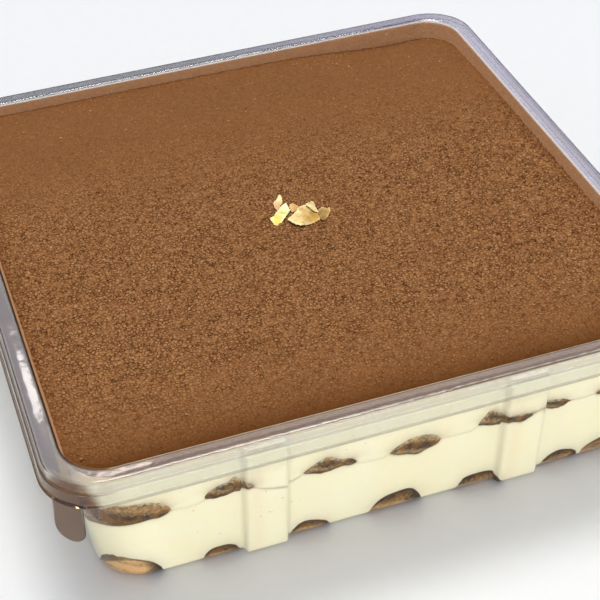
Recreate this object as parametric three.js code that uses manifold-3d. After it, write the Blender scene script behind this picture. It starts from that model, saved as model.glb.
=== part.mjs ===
// Tiramisu in a square clear tub: two rows of ladyfingers in mascarpone cream, a dusting of cocoa and a
// few flakes of gold leaf. Millimetres, +Z up, origin at the middle of the tub's underside. The front is
// towards -Y, and the opening tab hangs at the front left corner.

import * as THREE from "three";
import { mergeVertices } from "three/addons/utils/BufferGeometryUtils.js";
import Module from "manifold-3d";

const wasm = await Module();
wasm.setup();

// ---- Driving dimensions ----

// Tub, measured to the inner (upper) face of the plastic sheet unless it says otherwise.
const SHEET = 0.5; // thickness of the thermoformed sheet
const TUB_HEIGHT = 46.3; // floor to crest, outside
const CREST_HALF = 85.0; // half the width across the crest's outer edge
const CREST_WIDTH = 4.7; // flat top of the rim, inner edge to outer edge
const CREST_ROUNDING = 0.8;
const FLOOR_HALF = 74.5; // half the width of the wall, run down to the floor
const WALL_TOP_HALF = 78.6; // half the width of the wall under the rim
const WALL_TOP = 40.6; // height where the wall turns into the rim
const FOOT_ROUNDING = 2.8; // between wall and floor
const FLOOR_CORNER = 12.0; // corner radii in plan, from the floor to the crest's outer edge
const RIM_CORNER = 10.8;
const CREST_CORNER = 13.5;
const STEP_HEIGHT = 44.0; // the skirt's upper band ends in a small outward step
const STEP_OUT = 0.5;
const SKIRT_END = 40.2; // the skirt's trimmed lower edge
const LIP_OUT = 0.55; // the edge turns out by this much
const SKIRT_LEAN = 0.3; // how far each band of the skirt spreads on its way down

// Pilasters: two upright ribs on each side.
const PILASTER_AT = 34.0; // from the middle of the side
const PILASTER_BASE = 12.4;
const PILASTER_FACE = 9.6;
const PILASTER_OUT = 2.0;
const PILASTER_TOP = 37.5; // full depth up to here
const PILASTER_FADE = 2.6; // then it slopes back into the wall over this height
const PILASTER_HEADROOM = 1.2; // the cream in them stops this much lower

// Opening tab.
const TAB_WIDTH = 8.3;
const TAB_LENGTH = 12.4;
const TAB_LEAN = THREE.MathUtils.degToRad(3);
const TAB_INSET = 0.75; // behind the lip's edge, along the corner's diagonal

// Contents.
const GAP = 0.3; // between neighbouring pieces
const COCOA_UNDERSIDE = 41.5;
const COCOA_LEVEL = 42.8; // height of the dusted top in the middle
const COCOA_FALL = 0.003; // it falls by this much for each mm towards +X
const HOLLOW = { x: 63, y: 76, depth: 2.0, reach: 24 }; // cream and cocoa lie lower near one corner
// Gentle swells of the dusted top: direction in degrees from +X, wave length, height and phase.
const COCOA_SWELLS = [
  { direction: 20, length: 110, height: 0.06, phase: 0.7 },
  { direction: 105, length: 130, height: 0.05, phase: -0.5 },
];
const SEAM_LEVEL = 24.6; // where the two layers of cream meet
const SEAM_SAG = 1.5; // the upper layer sags this much between ladyfingers
const FINGER_HALF_WIDTH = 9.7;
const FINGER_END_LENGTH = 9.0; // the rounded end narrows over this length
const FINGER_SQUARENESS = 2.6; // exponent of the section's outline
const FINGER_SIDES = 10;
const FINGER_STATIONS = [0.03, 0.3, 1]; // places of its rings, as shares of the rounded end

// Each ladyfinger: x of its middle, then the patch that its end presses against the wall, as its own x,
// half width, lowest and highest point.
const BOTTOM_ROW = {
  low: 0.0,
  high: 12.5,
  fingers: [
    { x: -66.5, end: [-67.5, 7.5, 0.0, 8.2] },
    { x: -45.2, end: [-45.7, 5.0, 0.0, 4.8] },
    { x: -23.2, end: [-22.6, 4.8, 0.0, 5.4] },
    { x: 0.8, end: [0.8, 6.8, 0.0, 7.2] },
    { x: 23.6, end: [24.2, 6.0, 0.0, 5.6] },
    { x: 45.8, end: [47.0, 4.8, 0.0, 5.5] },
    { x: 66.5, end: [64.0, 9.0, 0.0, 7.0] },
  ],
};
const MIDDLE_ROW = {
  low: 20.5,
  high: 33.0,
  fingers: [
    { x: -66.5, end: [-68.5, 10.4, 22.6, 30.6] },
    { x: -43.8, end: [-43.0, 5.6, 24.4, 30.2] },
    { x: -18.6, end: [-17.4, 6.4, 23.0, 28.4] },
    { x: 4.4, end: [5.0, 6.3, 20.6, 26.8] },
    { x: 27.0, end: [27.6, 5.6, 22.4, 29.0] },
    { x: 47.4, end: [42.8, 3.4, 23.6, 26.6] },
    { x: 66.8, end: [65.5, 8.6, 23.0, 29.0] },
  ],
};

// Gold leaf: five flakes of crumpled foil, each by its outline in plan, anticlockwise, how high its
// crumples rise, and how steeply it slopes up towards the back.
const LEAF_SHEET = 0.25;
const LEAF_CRUMPLE = { across: 1.3, along: 1.1 }; // radians of wave for each mm
const LEAVES = [
  {
    name: "gold_leaf_large",
    outline: [[-2.3, -2.9], [0, -6.6], [3.6, -6.8], [6.7, -5], [7, -2.2], [6.8, 2.8], [2.4, 1.2], [0.4, -0.8]],
    crumple: 0.4,
    slope: 0.13,
  },
  {
    name: "gold_leaf_tail",
    outline: [[7.4, -5.9], [8.8, -5.2], [10.3, -3.0], [10.8, -1.2], [9.4, -1.8], [8.9, -0.2], [7.5, -2.2]],
    crumple: 0.2,
    slope: 0.1,
  },
  {
    name: "gold_leaf_pale",
    outline: [[-6.5, -3.2], [-4.4, -3.7], [-2.7, -2.2], [0, 1], [0.2, 5.2], [-1.8, 4.6], [-4, 1.2], [-6, -0.6]],
    crumple: 0.3,
    slope: 0.16,
  },
  {
    name: "gold_leaf_tip",
    outline: [[-3.6, 2.9], [-2.2, 4.8], [-0.8, 6.2], [-0.4, 9.2], [-2.2, 7.0], [-3.8, 4.7]],
    crumple: 0.2,
    slope: 0.08,
  },
  {
    name: "gold_leaf_small",
    outline: [[0.6, 0.2], [1.5, 0.9], [2.9, 2.0], [2.1, 3.6], [1.5, 4.3], [0.6, 3.7]],
    crumple: 0.2,
    slope: 0.1,
  },
];

const UPWARDS = new THREE.Vector3(0, 0, 1);

// How finely the curved pieces are divided.
const CORNER_STEPS = 4;
const FOOT_STEPS = 2;
const CREST_STEPS = 2;
const SEAM_STEP = 5; // mm between the points of the seam
const TOP_RINGS = [1, 0.9, 0.74, 0.5, 0.25]; // rings of an uneven top, as shares of its edge
const LEAF_RINGS = [1, 0.66, 0.33];

// ---- Solids ----

/** Turns a closed geometry into a solid that can be joined and cut. */
function solidOf(geometry) {
  const bare = geometry.clone();
  bare.deleteAttribute("normal");
  bare.deleteAttribute("uv");
  const merged = mergeVertices(bare, 1e-4);
  return new wasm.Manifold(
    new wasm.Mesh({
      numProp: 3,
      vertProperties: new Float32Array(merged.attributes.position.array),
      triVerts: new Uint32Array(merged.index.array),
    }),
  );
}

/** Turns a solid back into a geometry with flat shading. */
function geometryOf(solid) {
  const mesh = solid.getMesh();
  const geometry = new THREE.BufferGeometry();
  geometry.setAttribute("position", new THREE.BufferAttribute(new Float32Array(mesh.vertProperties), 3));
  geometry.setIndex(new THREE.BufferAttribute(new Uint32Array(mesh.triVerts), 1));
  const flat = geometry.toNonIndexed();
  flat.computeVertexNormals();
  return flat;
}

/** Skins a stack of rings with the same number of points, closed by a fan to a point at each end. */
function loft(rings, startPoint, endPoint) {
  const count = rings[0].length;
  const points = [...rings.flat(), startPoint, endPoint];
  const start = points.length - 2;
  const end = points.length - 1;
  const lastRing = (rings.length - 1) * count;
  const faces = [];
  for (let j = 0; j < count; j++) {
    const next = (j + 1) % count;
    faces.push(start, next, j);
    for (let i = 0; i < rings.length - 1; i++) {
      const low = i * count;
      const high = low + count;
      faces.push(low + j, low + next, high + next);
      faces.push(low + j, high + next, high + j);
    }
    faces.push(lastRing + j, lastRing + next, end);
  }
  const geometry = new THREE.BufferGeometry().setFromPoints(points);
  geometry.setIndex(faces);
  return geometry;
}

// ---- The tub's plan and section ----

/**
 * A rounded square in plan, anticlockwise from above, whose sides step out by bump at the pilasters. The
 * pilasters are narrower by a clearance on either side.
 */
function squareRing({ half, corner, bump, z }, clearance = 0) {
  const ring = [];
  const base = PILASTER_BASE / 2 - clearance;
  const face = PILASTER_FACE / 2 - clearance;
  for (let side = 0; side < 4; side++) {
    const turn = (side * Math.PI) / 2;
    const put = (x, y) => ring.push(new THREE.Vector3(x, y, z).applyAxisAngle(UPWARDS, turn));
    for (const middle of [-PILASTER_AT, PILASTER_AT]) {
      put(middle - base, -half);
      put(middle - face, -half - bump);
      put(middle + face, -half - bump);
      put(middle + base, -half);
    }
    for (let step = 0; step <= CORNER_STEPS; step++) {
      const angle = ((step / CORNER_STEPS - 1) * Math.PI) / 2;
      put(half - corner + corner * Math.cos(angle), -(half - corner) + corner * Math.sin(angle));
    }
  }
  return ring;
}

/** Half the width of the wall's inner face at a height. Above the wall's top it leans out to the rim. */
function wallHalf(z) {
  if (z <= WALL_TOP) return THREE.MathUtils.lerp(FLOOR_HALF, WALL_TOP_HALF, z / WALL_TOP);
  const rimHeight = TUB_HEIGHT - CREST_ROUNDING - WALL_TOP;
  return THREE.MathUtils.lerp(WALL_TOP_HALF, CREST_HALF - CREST_WIDTH, (z - WALL_TOP) / rimHeight);
}

/** Corner radius in plan of the wall's inner face at a height. */
function wallCorner(z) {
  return THREE.MathUtils.lerp(FLOOR_CORNER, RIM_CORNER, Math.min(z / WALL_TOP, 1));
}

/** How far a pilaster that is full up to a height stands out of the wall at z. */
function pilasterDepth(z, fullTo) {
  return PILASTER_OUT * THREE.MathUtils.clamp((fullTo + PILASTER_FADE - z) / PILASTER_FADE, 0, 1);
}

/** Quarter turn about a centre in the section, as points of half width and height. */
function sectionArc(centreHalf, centreZ, radius, fromDegrees, toDegrees, steps) {
  return Array.from({ length: steps + 1 }, (_, i) => {
    const angle = THREE.MathUtils.degToRad(THREE.MathUtils.lerp(fromDegrees, toDegrees, i / steps));
    return { half: centreHalf + radius * Math.cos(angle), z: centreZ + radius * Math.sin(angle) };
  });
}

/**
 * The wall's inner face from the floor to a height: half width, height, corner radius, pilaster depth.
 * The pilasters stay full up to pilasterTop.
 */
function wallSection(top, pilasterTop) {
  const footHalf = wallHalf(FOOT_ROUNDING) - FOOT_ROUNDING;
  const foot = sectionArc(footHalf, SHEET + FOOT_ROUNDING, FOOT_ROUNDING, -90, -6, FOOT_STEPS);
  const heights = [pilasterTop, pilasterTop + PILASTER_FADE, top];
  const wall = heights.map((z) => ({ half: wallHalf(z), z }));
  return [...foot, ...wall].map((point) => ({
    ...point,
    corner: wallCorner(point.z) - (wallHalf(point.z) - point.half),
    bump: pilasterDepth(point.z, pilasterTop),
  }));
}

/** The rim from the wall over the crest and down the skirt to its lip, along the sheet's upper face. */
function rimSection() {
  const innerHalf = CREST_HALF - CREST_WIDTH;
  const crestZ = TUB_HEIGHT - CREST_ROUNDING;
  const rounding = CREST_ROUNDING;
  const skirtHalf = CREST_HALF + SKIRT_LEAN;
  const lowerHalf = skirtHalf + STEP_OUT;
  const path = [
    ...sectionArc(innerHalf + rounding, crestZ, rounding, 180, 90, CREST_STEPS),
    ...sectionArc(CREST_HALF - rounding, crestZ, rounding, 90, 0, CREST_STEPS),
    { half: skirtHalf, z: STEP_HEIGHT },
    { half: lowerHalf, z: STEP_HEIGHT - STEP_OUT },
    { half: lowerHalf + SKIRT_LEAN, z: SKIRT_END + LIP_OUT },
    { half: lowerHalf + SKIRT_LEAN + LIP_OUT, z: SKIRT_END },
  ];
  const spread = (CREST_CORNER - RIM_CORNER) / CREST_WIDTH;
  return path.map((point) => ({
    ...point,
    corner: RIM_CORNER + (point.half - innerHalf) * spread,
    bump: 0,
  }));
}

/** Moves a section sideways by a distance, to its outer (lower) side when that is positive. */
function offsetSection(section, distance) {
  return section.map((point, i) => {
    const before = section[Math.max(i - 1, 0)];
    const after = section[Math.min(i + 1, section.length - 1)];
    const along = new THREE.Vector2(after.half - before.half, after.z - before.z).normalize();
    const isFloorEdge = i === 0;
    const out = isFloorEdge ? new THREE.Vector2(0, -1) : new THREE.Vector2(along.y, -along.x);
    return {
      ...point,
      half: point.half + out.x * distance,
      z: point.z + out.y * distance,
      corner: Math.max(point.corner + out.x * distance, 1),
    };
  });
}

/** Rings of a section, in its order. */
function ringsOf(section, clearance) {
  return section.map((point) => squareRing(point, clearance));
}

/** The tub: one sheet with an even thickness, and the tab fused to its lip. */
function tubSolid() {
  const upperFace = [...wallSection(WALL_TOP, PILASTER_TOP), ...rimSection()];
  const lowerFace = offsetSection(upperFace, SHEET);
  const section = [...lowerFace, ...upperFace.reverse()];
  const floor = new THREE.Vector3(0, 0, 0);
  const shell = solidOf(loft(ringsOf(section), floor, new THREE.Vector3(0, 0, SHEET)));
  return shell.add(solidOf(tabGeometry()));
}

/** The opening tab: a tongue with a round end that hangs from the lip at the front left corner. */
function tabGeometry() {
  const radius = TAB_WIDTH / 2;
  const outline = new THREE.Shape();
  outline.moveTo(-radius, 0);
  outline.lineTo(-radius, radius - TAB_LENGTH);
  outline.absarc(0, radius - TAB_LENGTH, radius, Math.PI, 2 * Math.PI, false);
  outline.lineTo(radius, 0);
  outline.closePath();
  const tongue = new THREE.ExtrudeGeometry(outline, { depth: SHEET, bevelEnabled: false, curveSegments: 12 });
  tongue.rotateX(Math.PI / 2 - TAB_LEAN);
  const lipHalf = CREST_HALF + 2 * SKIRT_LEAN + STEP_OUT + LIP_OUT;
  const lipCorner = CREST_CORNER + (lipHalf - CREST_HALF);
  const diagonal = (lipHalf - lipCorner) * Math.SQRT2 + lipCorner - TAB_INSET;
  tongue.translate(0, -diagonal, SKIRT_END + LIP_OUT / 2);
  tongue.rotateZ(-Math.PI / 4);
  return tongue;
}

/** The space inside the walls up to the cream's top, a gap clear of the sheet. */
function cavitySolid(withPilasters) {
  const top = COCOA_UNDERSIDE - GAP;
  const pilasterTop = PILASTER_TOP - PILASTER_HEADROOM;
  const section = offsetSection(wallSection(top, pilasterTop), -GAP).map((point) => ({
    ...point,
    bump: withPilasters ? point.bump : 0,
  }));
  const rings = ringsOf(section, GAP);
  const edge = rings.pop();
  const low = new THREE.Vector3(0, 0, section[0].z);
  const { topRings, middle } = unevenTop(edge, (x, y) => top - hollowDepth(x, y));
  return solidOf(loft([...rings, ...topRings], low, middle));
}

// ---- Contents ----

/** A superellipse in the plane across a ladyfinger. */
function fingerRing(x, z, halfWidth, halfHeight, y) {
  return Array.from({ length: FINGER_SIDES }, (_, i) => {
    const angle = (-i / FINGER_SIDES) * 2 * Math.PI;
    const power = 2 / FINGER_SQUARENESS;
    const across = Math.sign(Math.cos(angle)) * Math.abs(Math.cos(angle)) ** power;
    const up = Math.sign(Math.sin(angle)) * Math.abs(Math.sin(angle)) ** power;
    return new THREE.Vector3(x + halfWidth * across, y, z + halfHeight * up);
  });
}

/** The mean of a ring's points. */
function middleOf(ring) {
  return ring.reduce((sum, point) => sum.add(point), new THREE.Vector3()).divideScalar(ring.length);
}

/** A ladyfinger that runs from the front wall to the back wall, grown by a margin all round. */
function fingerSolid(row, finger, margin) {
  const [endX, endHalfWidth, endLow, endHigh] = finger.end;
  const wallAt = wallHalf((endLow + endHigh) / 2);
  // How full the section is, from 0 at the patch on the wall, and past it, to 1 along the middle.
  const stations = [{ y: -CREST_HALF, fullness: 0 }];
  for (const share of FINGER_STATIONS) {
    stations.push({ y: share * FINGER_END_LENGTH - wallAt, fullness: Math.sqrt(1 - (1 - share) ** 2) });
  }
  const mirrored = stations.map(({ y, fullness }) => ({ y: -y, fullness })).reverse();
  const rings = [...stations, ...mirrored].map(({ y, fullness }) => {
    const low = THREE.MathUtils.lerp(endLow, row.low, fullness) - margin;
    const high = THREE.MathUtils.lerp(endHigh, row.high, fullness) + margin;
    const halfWidth = THREE.MathUtils.lerp(endHalfWidth, FINGER_HALF_WIDTH, fullness) + margin;
    const x = THREE.MathUtils.lerp(endX, finger.x, fullness);
    return fingerRing(x, (low + high) / 2, halfWidth, (high - low) / 2, y);
  });
  return solidOf(loft(rings, middleOf(rings[0]), middleOf(rings[rings.length - 1])));
}

/** Height of the seam between the two layers of cream at x: it sags between the ladyfingers. */
function seamHeight(x) {
  const middles = MIDDLE_ROW.fingers.map((finger) => finger.end[0]);
  const right = middles.findIndex((middle) => middle > x);
  if (right <= 0) return SEAM_LEVEL;
  const share = (x - middles[right - 1]) / (middles[right] - middles[right - 1]);
  return SEAM_LEVEL - SEAM_SAG * Math.sin(Math.PI * share) ** 2;
}

/** Everything below the seam, moved by an offset, as a block wider than the tub. */
function belowSeam(offset) {
  const reach = CREST_HALF;
  const block = new THREE.Shape();
  block.moveTo(-reach, -1);
  block.lineTo(reach, -1);
  for (let x = reach; x >= -reach; x -= SEAM_STEP) block.lineTo(x, seamHeight(x) + offset);
  block.closePath();
  const geometry = new THREE.ExtrudeGeometry(block, { depth: 2 * reach, bevelEnabled: false });
  geometry.rotateX(Math.PI / 2);
  geometry.translate(0, reach, 0);
  return solidOf(geometry);
}

/** How far the food has sunk at a place near the low corner. */
function hollowDepth(x, y) {
  const distance = Math.hypot(x - HOLLOW.x, y - HOLLOW.y) / HOLLOW.reach;
  return HOLLOW.depth * Math.exp(-distance * distance);
}

/** Height of the dusted cocoa top: a slight fall, gentle swells, and the hollow near one corner. */
function cocoaHeight(x, y) {
  const swell = COCOA_SWELLS.reduce((sum, { direction, length, height, phase }) => {
    const heading = THREE.MathUtils.degToRad(direction);
    const travel = x * Math.cos(heading) + y * Math.sin(heading);
    return sum + height * Math.sin((2 * Math.PI * travel) / length + phase);
  }, 0);
  return COCOA_LEVEL - COCOA_FALL * x + swell - hollowDepth(x, y);
}

/**
 * Rings from an edge to the middle of an uneven top, and the point in its middle. Where the top lies lower
 * than its level edge, it is drawn in as the wall is.
 */
function unevenTop(edge, heightAt) {
  const place = ({ x, y, z }, share) => {
    const drawn = (share * wallHalf(heightAt(x, y))) / wallHalf(z);
    return new THREE.Vector3(x * drawn, y * drawn, heightAt(x * drawn, y * drawn));
  };
  const topRings = TOP_RINGS.map((share) => edge.map((point) => place(point, share)));
  return { topRings, middle: new THREE.Vector3(0, 0, heightAt(0, 0)) };
}

/** The inside of the wall in plan at a height, a gap clear of it. */
function insideRing(z) {
  return squareRing({ half: wallHalf(z) - GAP, corner: wallCorner(z), bump: 0, z });
}

/** The cocoa layer: its underside follows the cream, and its top swells. */
function cocoaSolid() {
  const underside = unevenTop(insideRing(COCOA_UNDERSIDE), (x, y) => COCOA_UNDERSIDE - hollowDepth(x, y));
  const top = unevenTop(insideRing(COCOA_LEVEL), cocoaHeight);
  const rings = [...underside.topRings.reverse(), ...top.topRings];
  return solidOf(loft(rings, underside.middle, top.middle));
}

/** One flake of gold leaf: a thin crumpled sheet that lies on the cocoa. */
function leafGeometry({ outline, crumple, slope }) {
  const middleX = outline.reduce((sum, [x]) => sum + x, 0) / outline.length;
  const middleY = outline.reduce((sum, [, y]) => sum + y, 0) / outline.length;
  const surface = (x, y) => {
    const wave = Math.sin(LEAF_CRUMPLE.across * x) * Math.cos(LEAF_CRUMPLE.along * y);
    return new THREE.Vector3(x, y, crumple * wave + slope * (y - middleY));
  };
  const towardsMiddle = (x, y, share) =>
    surface(THREE.MathUtils.lerp(middleX, x, share), THREE.MathUtils.lerp(middleY, y, share));
  const edge = outline.flatMap(([x, y], i) => {
    const [nextX, nextY] = outline[(i + 1) % outline.length];
    return [[x, y], [(x + nextX) / 2, (y + nextY) / 2]];
  });
  const upper = LEAF_RINGS.map((share) => edge.map(([x, y]) => towardsMiddle(x, y, share)));
  const lower = upper.map((ring) => ring.map((point) => point.clone().setZ(point.z - LEAF_SHEET)));
  const middle = surface(middleX, middleY);
  const lowMiddle = middle.clone().setZ(middle.z - LEAF_SHEET);
  const clearance = Math.max(...lower.flat().map((point) => cocoaHeight(point.x, point.y) - point.z));
  const geometry = loft([...lower.reverse(), ...upper], lowMiddle, middle);
  geometry.translate(0, 0, clearance + GAP);
  return geometry;
}

// ---- Assembly ----

const FINISHES = {
  clearPlastic: { color: 0xdfe6e8, roughness: 0.08, metalness: 0, transparent: true, opacity: 0.35 },
  cream: { color: 0xf6efcd, roughness: 0.55, metalness: 0 },
  upperCream: { color: 0xf8f3d8, roughness: 0.55, metalness: 0 },
  ladyfinger: { color: 0x84622a, roughness: 0.85, metalness: 0 },
  cocoa: { color: 0x8a5c38, roughness: 1, metalness: 0 },
  goldLeaf: { color: 0xe9cd84, roughness: 0.35, metalness: 1 },
};

const tiramisu = new THREE.Group();

/** Adds one named piece with a material of its own. */
function addPiece(name, geometry, finish) {
  const mesh = new THREE.Mesh(geometry, new THREE.MeshStandardMaterial(FINISHES[finish]));
  mesh.name = name;
  tiramisu.add(mesh);
}

/** The two layers of cream, each cut round the ladyfingers, and the ladyfingers themselves. */
function addFilling() {
  const filling = cavitySolid(true);
  const biscuitSpace = cavitySolid(false);
  let lower = filling.intersect(belowSeam(-GAP / 2));
  let upper = filling.subtract(belowSeam(GAP / 2));
  for (const [rowName, row] of [["bottom", BOTTOM_ROW], ["middle", MIDDLE_ROW]]) {
    row.fingers.forEach((finger, i) => {
      const biscuit = fingerSolid(row, finger, 0).intersect(biscuitSpace);
      const hollow = fingerSolid(row, finger, GAP);
      lower = lower.subtract(hollow);
      upper = upper.subtract(hollow);
      addPiece("ladyfinger_" + rowName + "_" + (i + 1), geometryOf(biscuit), "ladyfinger");
    });
  }
  addPiece("cream_lower", geometryOf(lower), "cream");
  addPiece("cream_upper", geometryOf(upper), "upperCream");
}

addPiece("tub", geometryOf(tubSolid()), "clearPlastic");
addFilling();
addPiece("cocoa_layer", geometryOf(cocoaSolid()), "cocoa");
for (const leaf of LEAVES) addPiece(leaf.name, leafGeometry(leaf), "goldLeaf");

export default tiramisu;
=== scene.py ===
"""Tiramisu in a square clear tub, dressed for its portrait.

Two rows of coffee-soaked ladyfingers lie in mascarpone cream under a dusting of cocoa, with a few flakes
of gold leaf on top. The tub is one thermoformed sheet of clear plastic. Each sub-assembly is a class that
builds its pieces with numpy and dresses them in its finish.

Numbers are millimetres until a mesh is made, and metres in Blender. The front is towards -Y. A place on
the tub's wall is given by its height and by how far along the wall it is from the middle of a side.
"""

import enum
import logging
import math
from collections.abc import Iterable
from dataclasses import dataclass

import bpy
import numpy as np
from bpy.types import Material, Node, NodeSocket, NodeTree, Object
from mathutils import Matrix, Vector


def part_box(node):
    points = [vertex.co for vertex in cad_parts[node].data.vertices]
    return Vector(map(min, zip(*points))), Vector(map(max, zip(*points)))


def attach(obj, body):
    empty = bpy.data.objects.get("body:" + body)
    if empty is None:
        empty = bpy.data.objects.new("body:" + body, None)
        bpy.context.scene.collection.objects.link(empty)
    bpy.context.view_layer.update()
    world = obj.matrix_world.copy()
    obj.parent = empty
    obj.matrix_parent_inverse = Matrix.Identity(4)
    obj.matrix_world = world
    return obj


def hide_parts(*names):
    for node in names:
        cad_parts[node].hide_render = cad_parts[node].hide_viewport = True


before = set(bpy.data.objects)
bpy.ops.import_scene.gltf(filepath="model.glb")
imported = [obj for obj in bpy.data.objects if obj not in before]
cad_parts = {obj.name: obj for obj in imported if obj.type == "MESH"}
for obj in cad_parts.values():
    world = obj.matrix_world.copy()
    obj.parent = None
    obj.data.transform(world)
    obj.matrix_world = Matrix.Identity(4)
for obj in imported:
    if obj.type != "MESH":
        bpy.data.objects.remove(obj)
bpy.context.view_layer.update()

LOG = logging.getLogger("tiramisu")
MM = 0.001  # metres in a millimetre
FAR_AWAY = 1000.0  # mm, for places that are on another side of the tub
TINY = 1e-9  # mm, the least length that anything is divided by

# Input sockets of Blender's mix node for colours.
FACTOR, COLOUR_A, COLOUR_B = 0, 6, 7

Array = np.ndarray
Number = float | Array
Pair = tuple[float, float]


# ---- Helpers ----


def smoothstep(low: float, high: float, value: Number) -> Number:
    """Rises from 0 at low to 1 at high along 3t^2 - 2t^3.

    Args:
        low: Value where the rise starts.
        high: Value where it ends.
        value: One value or an array.

    Returns:
        Shares between 0 and 1, shaped like value.
    """
    share = np.clip((value - low) / (high - low), 0.0, 1.0)
    return share * share * (3.0 - 2.0 * share)


def grain(shape: tuple[int, int], spacing: float, size: float, seed: int) -> Array:
    """Makes an uneven field whose bumps have one size, and whose edges match up.

    White noise goes through a band of frequencies: each frequency f is weighted by (f size)^2 times
    exp(1 - (f size)^2), which peaks where a wave is as long as the bumps.

    Args:
        shape: Rows and columns of the field.
        spacing: Distance between neighbouring values, in mm.
        size: Typical distance between bumps, in mm.
        seed: Seed of the random draw.

    Returns:
        The field, with a mean of 0 and a deviation of 1.
    """
    white = np.random.default_rng(seed).standard_normal(shape)
    rows = np.fft.fftfreq(shape[0], spacing)[:, None]
    columns = np.fft.fftfreq(shape[1], spacing)[None, :]
    squared = (rows**2 + columns**2) * size**2
    made = np.fft.ifft2(np.fft.fft2(white) * squared * np.exp(1.0 - squared)).real
    return (made - made.mean()) / made.std()


def smooth_outline(corners: Array, count: int) -> Array:
    """Draws a closed Catmull-Rom curve through corners, evenly divided by length.

    Between corners b and c, with neighbours a and d, the curve is half of
    2b + (c - a) t + (2a - 5b + 4c - d) t^2 + (3b - a - 3c + d) t^3.

    Args:
        corners: Points in order round the outline, one in each row.
        count: Number of points wanted.

    Returns:
        The curve's points, starting at its rightmost corner.
    """
    first = int(np.argmax(corners[:, 0]))
    b = np.roll(corners, -first, axis=0)[:, None, :]
    a, c, d = (np.roll(b, shift, axis=0) for shift in (1, -1, -2))
    t = np.linspace(0.0, 1.0, 16, endpoint=False)[None, :, None]
    curve = 0.5 * (2 * b + (c - a) * t + (2 * a - 5 * b + 4 * c - d) * t**2 + (3 * b - a - 3 * c + d) * t**3)
    curve = curve.reshape(-1, corners.shape[1])
    closed = np.vstack([curve, curve[:1]])
    travel = np.concatenate([[0.0], np.cumsum(np.linalg.norm(np.diff(closed, axis=0), axis=1))])
    wanted = np.linspace(0.0, travel[-1], count, endpoint=False)
    return np.stack([np.interp(wanted, travel, closed[:, i]) for i in range(corners.shape[1])], axis=1)


def outline_distance(x: Array, y: Array, outline: Array) -> Array:
    """Measures how far points are from a closed outline.

    The distance is the least one to any of its segments. A point is inside if a ray from it towards +x
    crosses the outline an odd number of times.

    Args:
        x: First coordinates.
        y: Second coordinates, shaped like x.
        outline: Points in order round the outline.

    Returns:
        Distances shaped like x, negative inside.
    """
    start = outline
    run = np.roll(outline, -1, axis=0) - start
    from_x = x[..., None] - start[:, 0]
    from_y = y[..., None] - start[:, 1]
    share = np.clip((from_x * run[:, 0] + from_y * run[:, 1]) / (run**2).sum(axis=1), 0.0, 1.0)
    least = np.hypot(from_x - share * run[:, 0], from_y - share * run[:, 1]).min(axis=-1)
    level = np.where(np.abs(run[:, 1]) < TINY, TINY, run[:, 1])
    straddles = (from_y >= 0) != (from_y - run[:, 1] >= 0)
    crossings = (straddles & (from_x < from_y * run[:, 0] / level)).sum(axis=-1)
    return np.where(crossings % 2 == 1, -least, least)


def linear(hex_colour: str) -> tuple[float, float, float, float]:
    """Turns an sRGB hex colour into the linear values that Blender's sockets take.

    Args:
        hex_colour: A colour such as "#F8F3D2".

    Returns:
        Linear red, green and blue, and an alpha of 1.
    """
    shares = [int(hex_colour[at : at + 2], 16) / 255 for at in (1, 3, 5)]
    red, green, blue = (s / 12.92 if s <= 0.04045 else ((s + 0.055) / 1.055) ** 2.4 for s in shares)
    return red, green, blue, 1.0


def add_node(tree: NodeTree, kind: str, inputs: dict | None = None, **settings: object) -> Node:
    """Adds a node with its settings, values and links.

    Args:
        tree: The node tree that it goes in.
        kind: Blender's name for the kind of node, without its ShaderNode.
        inputs: For each input socket, by name or number, a value, the output socket that feeds it, or a
            node whose first output in use feeds it.
        **settings: Properties of the node itself.

    Returns:
        The new node.
    """
    node = tree.nodes.new("ShaderNode" + kind)
    for name, value in settings.items():
        setattr(node, name, value)
    for socket, value in (inputs or {}).items():
        if isinstance(value, Node):
            value = next(output for output in value.outputs if output.enabled)
        if isinstance(value, NodeSocket):
            tree.links.new(value, node.inputs[socket])
        else:
            node.inputs[socket].default_value = value
    return node


def per_mm(size: float) -> float:
    """Texture scale, in turns for each metre, at which a pattern repeats about every size mm."""
    return 1.0 / (size * MM)


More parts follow.
